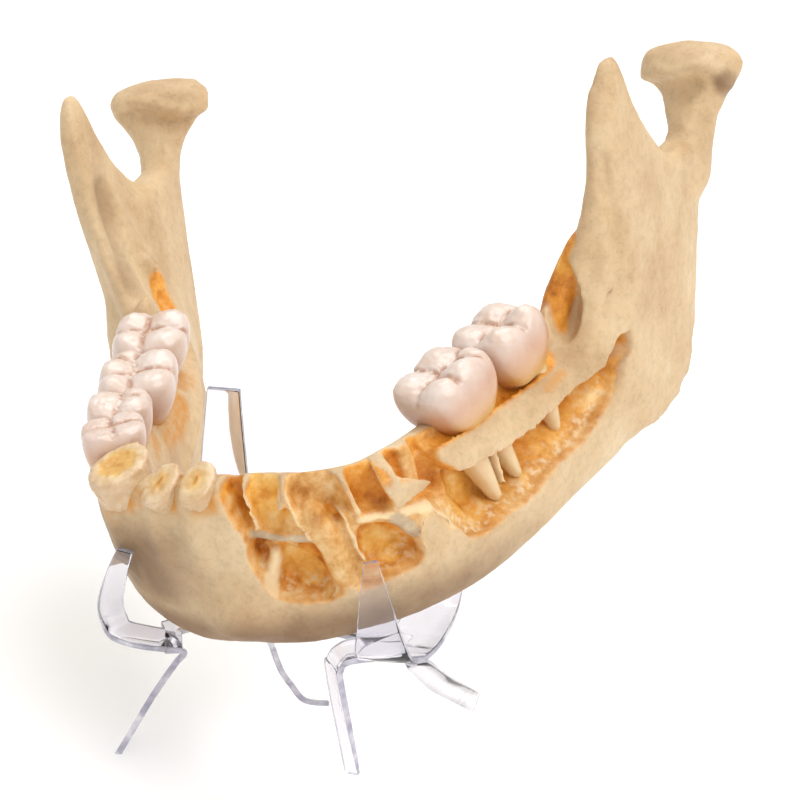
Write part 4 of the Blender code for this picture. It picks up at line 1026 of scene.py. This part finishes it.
# a ball drawn down to a tapering root
def rootCone(name, root, flip):
    x, y, halfX, halfY, length, driftX, driftY = root
    cone = addBall(name, 32, 32)
    p = readPoints(cone)
    down = 0.5 - 0.5 * p[:, 2]                    # 0 at the neck, 1 at the tip
    wide = np.sqrt(np.clip(1 - p[:, 2] ** 2, 0, 1)) + 1e-9
    taper = np.clip(down / 0.06, 0, 1) ** 0.5 * np.clip((1 - down) / 0.06, 0, 1) ** 0.5
    taper *= 1 - 0.72 * down ** 1.7
    placed = np.stack([
        p[:, 0] / wide * halfX * taper + (x + driftX * down ** 2) * flip,
        p[:, 1] / wide * halfY * taper + y + driftY * down,
        1.5 - (length + 2.1) * down,
    ], axis=1)
    writePoints(cone, placed)
    return cone


for node, (shape, at, heading, lean, tip) in toothPlaces.items():
    flip = -1.0 if at[0] > 0 else 1.0
    crown = crownShapes[shape]
    tooth = crownBall("tooth_" + node, crown, flip)
    for root in bareRoots.get(node, crown["roots"]):
        combine(tooth, rootCone("root", root, flip), "UNION", "EXACT")
    local = readPoints(tooth)
    cones = np.sort(cuspHeights(local, crown, flip), axis=0)
    biting = smoothStep(5.4, 7.0, local[:, 2]) * smoothStep(1.3, 0.5, cones[-1] - local[:, 2])
    groove = smoothStep(0.8, 0.0, cones[-1] - cones[-2]) * biting
    # worn wrinkles on the biting face, about 1 mm apart
    grain = noiseAt(local * unit, 1.1, shift=at[0])
    local = local + readPoints(tooth, "normal") * (biting * 0.16 * grain - 0.26 * groove)[:, None]
    writePoints(tooth, local)
    writeMask(tooth, "fissure", groove * smoothStep(-0.3, 0.2, noiseAt(local * unit, 1.6, shift=at[1])) * 0.9)
    writeMask(tooth, "rise", 0.4 + 0.06 * local[:, 2])
    tooth.data.transform(toothFrame(at, heading, lean, tip))
    selectOnly(tooth)
    bpy.ops.object.shade_smooth()
    finishPiece(tooth, enamel, node)
print("teeth made")

# broken crowns and roots: place of the neck, heading, how much wider than the plain solid and how far up;
# the incisors' roots are cones like the other roots, worn to a slope at the lips
stumpPlaces = {
    "right_canine": ((-17.0, 9.0, 30.8), 46, (1.2, 1.08, -0.2)),
    "right_lateral_incisor_root": ((-9.6, 7.7, 31.6), 24, (1.0, 1.0, 0.5)),
    "right_central_incisor_root": ((-3.6, 6.9, 31.8), 8, (1.0, 1.0, 0.8)),
}
for node, (at, heading, (wider, thicker, up)) in stumpPlaces.items():
    if node == "right_canine":
        stump = copyNode(node, "stump_" + node)
    else:
        stump = rootCone("stump_" + node, (-1.4, 1.5, 3.0, 3.7, 8.5, 0.8, -3.2), 1.0)
        points = readPoints(stump)
        points[:, 2] -= 0.5 * (points[:, 1] - 1.2) * smoothStep(-4.0, 1.0, points[:, 2])
        writePoints(stump, points)
        stump.data.transform(toothFrame(at, heading, 0, 0))
    applyModifier(stump, "REMESH", mode="VOXEL", voxel_size=0.28 * mm, use_smooth_shade=True)
    applyModifier(stump, "SMOOTH", factor=0.5, iterations=6 if node == "right_canine" else 16)
    points = readPoints(stump)
    normals = readPoints(stump, "normal")
    placed = toothFrame(at, heading, 0, 0)
    axes, neck = np.array(placed.to_3x3().normalized()), np.array(placed.translation)
    local = (points - neck) @ axes / unit
    local = local * np.array((wider, thicker, 1)) + np.array((0, 0, up))
    points = local * unit @ axes.T + neck
    face = smoothStep(0.45, 0.75, (normals @ axes)[:, 2])
    top = local[face > 0.5]
    middle = top.mean(0)
    reach = np.percentile(np.linalg.norm((top - middle)[:, :2], axis=1), 97)
    away = np.linalg.norm((local - middle)[:, :2] / reach, axis=1)
    grain = noiseAt(points, 0.8)
    points = points + normals * (0.16 * mm * grain - 0.25 * mm * face * smoothStep(0.8, 0.3, away))[:, None]
    writePoints(stump, points)
    if node == "right_canine":      # pale shell, yellow middle, a dot where the pulp ran
        yellow = smoothStep(0.85, 0.45, away + 0.16 * grain)
        core = face * (0.24 + 0.3 * yellow + 0.3 * smoothStep(0.13, 0.07, away))
    else:                           # worn tan root with the slit of its canal
        slit = np.hypot((local - middle)[:, 0] / 0.45, (local - middle)[:, 1] / 1.1)
        core = face * (0.22 + 0.16 * smoothStep(0.8, 0.4, away) + 0.5 * smoothStep(1.1, 0.6, slit))
    writeMask(stump, "core", core)
    finishPiece(stump, dentine, node)
print("stumps made")


# One clear sheet cut into strips and bent: pairs of points on the two edges of each strip, in
# drawing units from the table under the chin.
standShape = {
    "thick": 0.88 * mm,
    "steps": 7,
    "strips": {
        "cross_bar": [((-18.5, 8.6, 19.8), (-21.5, 12.2, 19.8)), ((-12.5, 17.5, 19.6), (-15.0, 23.0, 19.6)),
                      ((-4.0, 20.5, 19.4), (-5.0, 27.0, 19.4)), ((6.0, 17.5, 20.8), (7.0, 23.0, 20.8)),
                      ((15.8, 11.5, 23.1), (17.0, 17.0, 23.3)), ((20.0, 11.0, 23.2), (20.0, 16.0, 23.4))],
        "cradle_strip": [((18.1, 1.4, 41.3), (19.9, 2.2, 41.7)), ((17.6, 1.2, 37.0), (21.4, 2.6, 36.7)),
                         ((17.1, 1.2, 31.2), (22.9, 2.6, 32.2)), ((16.0, 2.8, 26.3), (23.5, 4.2, 28.0)),
                         ((15.4, 5.6, 23.8), (24.0, 6.6, 24.4)), ((15.6, 10.0, 23.1), (24.7, 11.4, 23.3)),
                         ((16.2, 18.0, 23.7), (24.9, 17.6, 24.2)), ((15.8, 26.0, 26.2), (23.2, 27.5, 25.6)),
                         ((14.6, 30.0, 32.5), (21.2, 34.5, 32.0)), ((14.8, 32.0, 40.5), (18.0, 34.6, 40.5))],
        "front_leg": [((17.5, 6.4, 23.5), (14.5, 12.0, 23.5)), ((15.3, 4.8, 23.5), (11.9, 11.0, 23.5)),
                      ((13.9, 4.2, 23.0), (10.3, 9.1, 23.0)), ((12.5, 5.5, 21.0), (8.9, 9.2, 21.0)),
                      ((12.1, 6.6, 17.9), (8.6, 9.5, 18.3)), ((12.2, 12.8, 0.0), (10.1, 12.6, 0.0)),
                      ((12.2, 13.3, -1.3), (10.0, 13.1, -1.3))],
        "side_leg": [((22.1, 7.4, 23.3), (24.5, 9.6, 23.3)), ((22.2, 9.0, 21.6), (24.7, 11.8, 21.8)),
                     ((21.9, 17.6, 14.5), (23.9, 21.5, 15.0)), ((21.1, 28.7, 7.2), (22.5, 31.6, 8.8)),
                     ((20.3, 40.0, -0.2), (21.4, 40.3, 3.4))],
        "left_prong": [((-21.2, -1.4, 38.2), (-18.6, -1.2, 37.9)), ((-23.9, -0.4, 33.2), (-20.8, 0.6, 32.7)),
                       ((-26.4, 1.2, 27.1), (-23.5, 4.0, 27.0)), ((-26.5, 2.4, 23.1), (-25.1, 7.6, 22.8)),
                       ((-25.5, 3.5, 20.4), (-25.4, 9.6, 20.4)), ((-20.4, 3.2, 19.9), (-22.0, 10.1, 19.9)),
                       ((-13.9, 4.9, 19.7), (-17.0, 10.7, 19.7))],
        "left_leg": [((-16.3, 3.9, 19.7), (-19.6, 10.4, 19.7)), ((-13.9, 5.2, 19.4), (-16.4, 10.0, 16.8)),
                     ((-15.7, 5.9, 16.9), (-18.2, 10.7, 14.3)), ((-18.4, 6.5, 13.0), (-20.9, 11.3, 10.4)),
                     ((-20.8, 5.8, 8.9), (-23.3, 10.5, 6.2)), ((-25.0, 4.2, 0.9), (-27.6, 8.9, -1.8)),
                     ((-25.7, 4.0, -0.2), (-28.3, 8.7, -3.0))],
        "back_leg": [((-6.5, 17.5, 19.2), (-6.5, 23.0, 19.2)), ((-6.2, 20.5, 15.2), (-8.0, 24.2, 13.2)),
                     ((-6.8, 25.0, 8.9), (-8.6, 28.7, 6.9)), ((-6.9, 29.0, 4.4), (-8.7, 32.7, 2.3)),
                     ((-4.6, 29.3, 1.9), (-6.3, 33.0, -0.1)), ((-0.5, 29.8, 1.9), (-2.2, 33.5, -0.1))],
        "back_arm": [((-8.6, 5.0, 63.6), (-3.5, 5.6, 63.7)), ((-10.1, 6.6, 56.7), (-3.8, 7.0, 57.3)),
                     ((-11.7, 8.4, 49.5), (-4.2, 8.8, 50.5)), ((-13.6, 11.4, 40.8), (-4.9, 11.4, 42.1)),
                     ((-15.6, 15.4, 31.3), (-6.2, 15.4, 32.7)), ((-16.3, 18.6, 23.9), (-6.8, 18.6, 25.2)),
                     ((-15.5, 22.5, 20.4), (-6.5, 22.5, 20.4)), ((-14.5, 25.5, 19.5), (-6.0, 25.5, 19.5))],
        "rear_leg": [((-10.0, 21.5, 19.3), (-4.0, 21.5, 19.3)), ((-11.5, 29.0, 18.2), (-6.0, 29.0, 18.2)),
                     ((-14.0, 40.0, 12.8), (-9.4, 40.0, 12.8)), ((-20.6, 67.0, 0.0), (-17.0, 67.0, 0.0)),
                     ((-21.3, 70.0, -1.4), (-17.7, 70.0, -1.4))],
    },
}


def roundedLine(corners, steps):
    p = np.array([corners[0], *corners, corners[-1]], float)
    line = []
    for a, b, c, d in zip(p, p[1:], p[2:], p[3:]):
        for t in np.arange(steps) / steps:
            line.append(throughPoints(a, b, c, d, t))
    return np.array(line + [p[-1]])


def bentStrip(name, pairs):
    first = roundedLine([pair[0] for pair in pairs], standShape["steps"]) * unit
    second = roundedLine([pair[1] for pair in pairs], standShape["steps"]) * unit
    corners = np.stack([first, second], axis=1).reshape(-1, 3) - np.array(jawDrawing["middle"])
    faces = [(2 * i, 2 * i + 1, 2 * i + 3, 2 * i + 2) for i in range(len(first) - 1)]
    strip = meshPiece(name, corners, faces)
    strip.data.materials.append(acrylic)
    strip.data.materials.append(sawnAcrylicPaintedLight)      # taken by the rim that Solidify makes
    applyModifier(strip, "SOLIDIFY", thickness=standShape["thick"], offset=0.0, use_even_offset=True,
                  material_offset_rim=1)
    weldPiece(strip)
    applyModifier(strip, "BEVEL", width=0.24 * mm, segments=3, limit_method="ANGLE",
                  angle_limit=math.radians(50))
    return strip


strips = [bentStrip(name, pairs) for name, pairs in standShape["strips"].items()]
stand = strips[0]
stand.name = "acrylic_stand"
for strip in strips[1:]:
    combine(stand, strip, "UNION")
# the feet are cut level with the table
bpy.ops.object.select_all(action="DESELECT")
bpy.ops.mesh.primitive_cube_add(size=0.2, location=(0, 0, -0.1))
combine(stand, bpy.context.active_object, "DIFFERENCE")
selectOnly(stand)
bpy.ops.object.shade_smooth_by_angle(angle=math.radians(24))
stand.visible_shadow = False      # so thin a clear sheet barely greys what lies behind it
finishPiece(stand, None, "display_stand")
print("stand made:", len(stand.data.polygons), "faces")
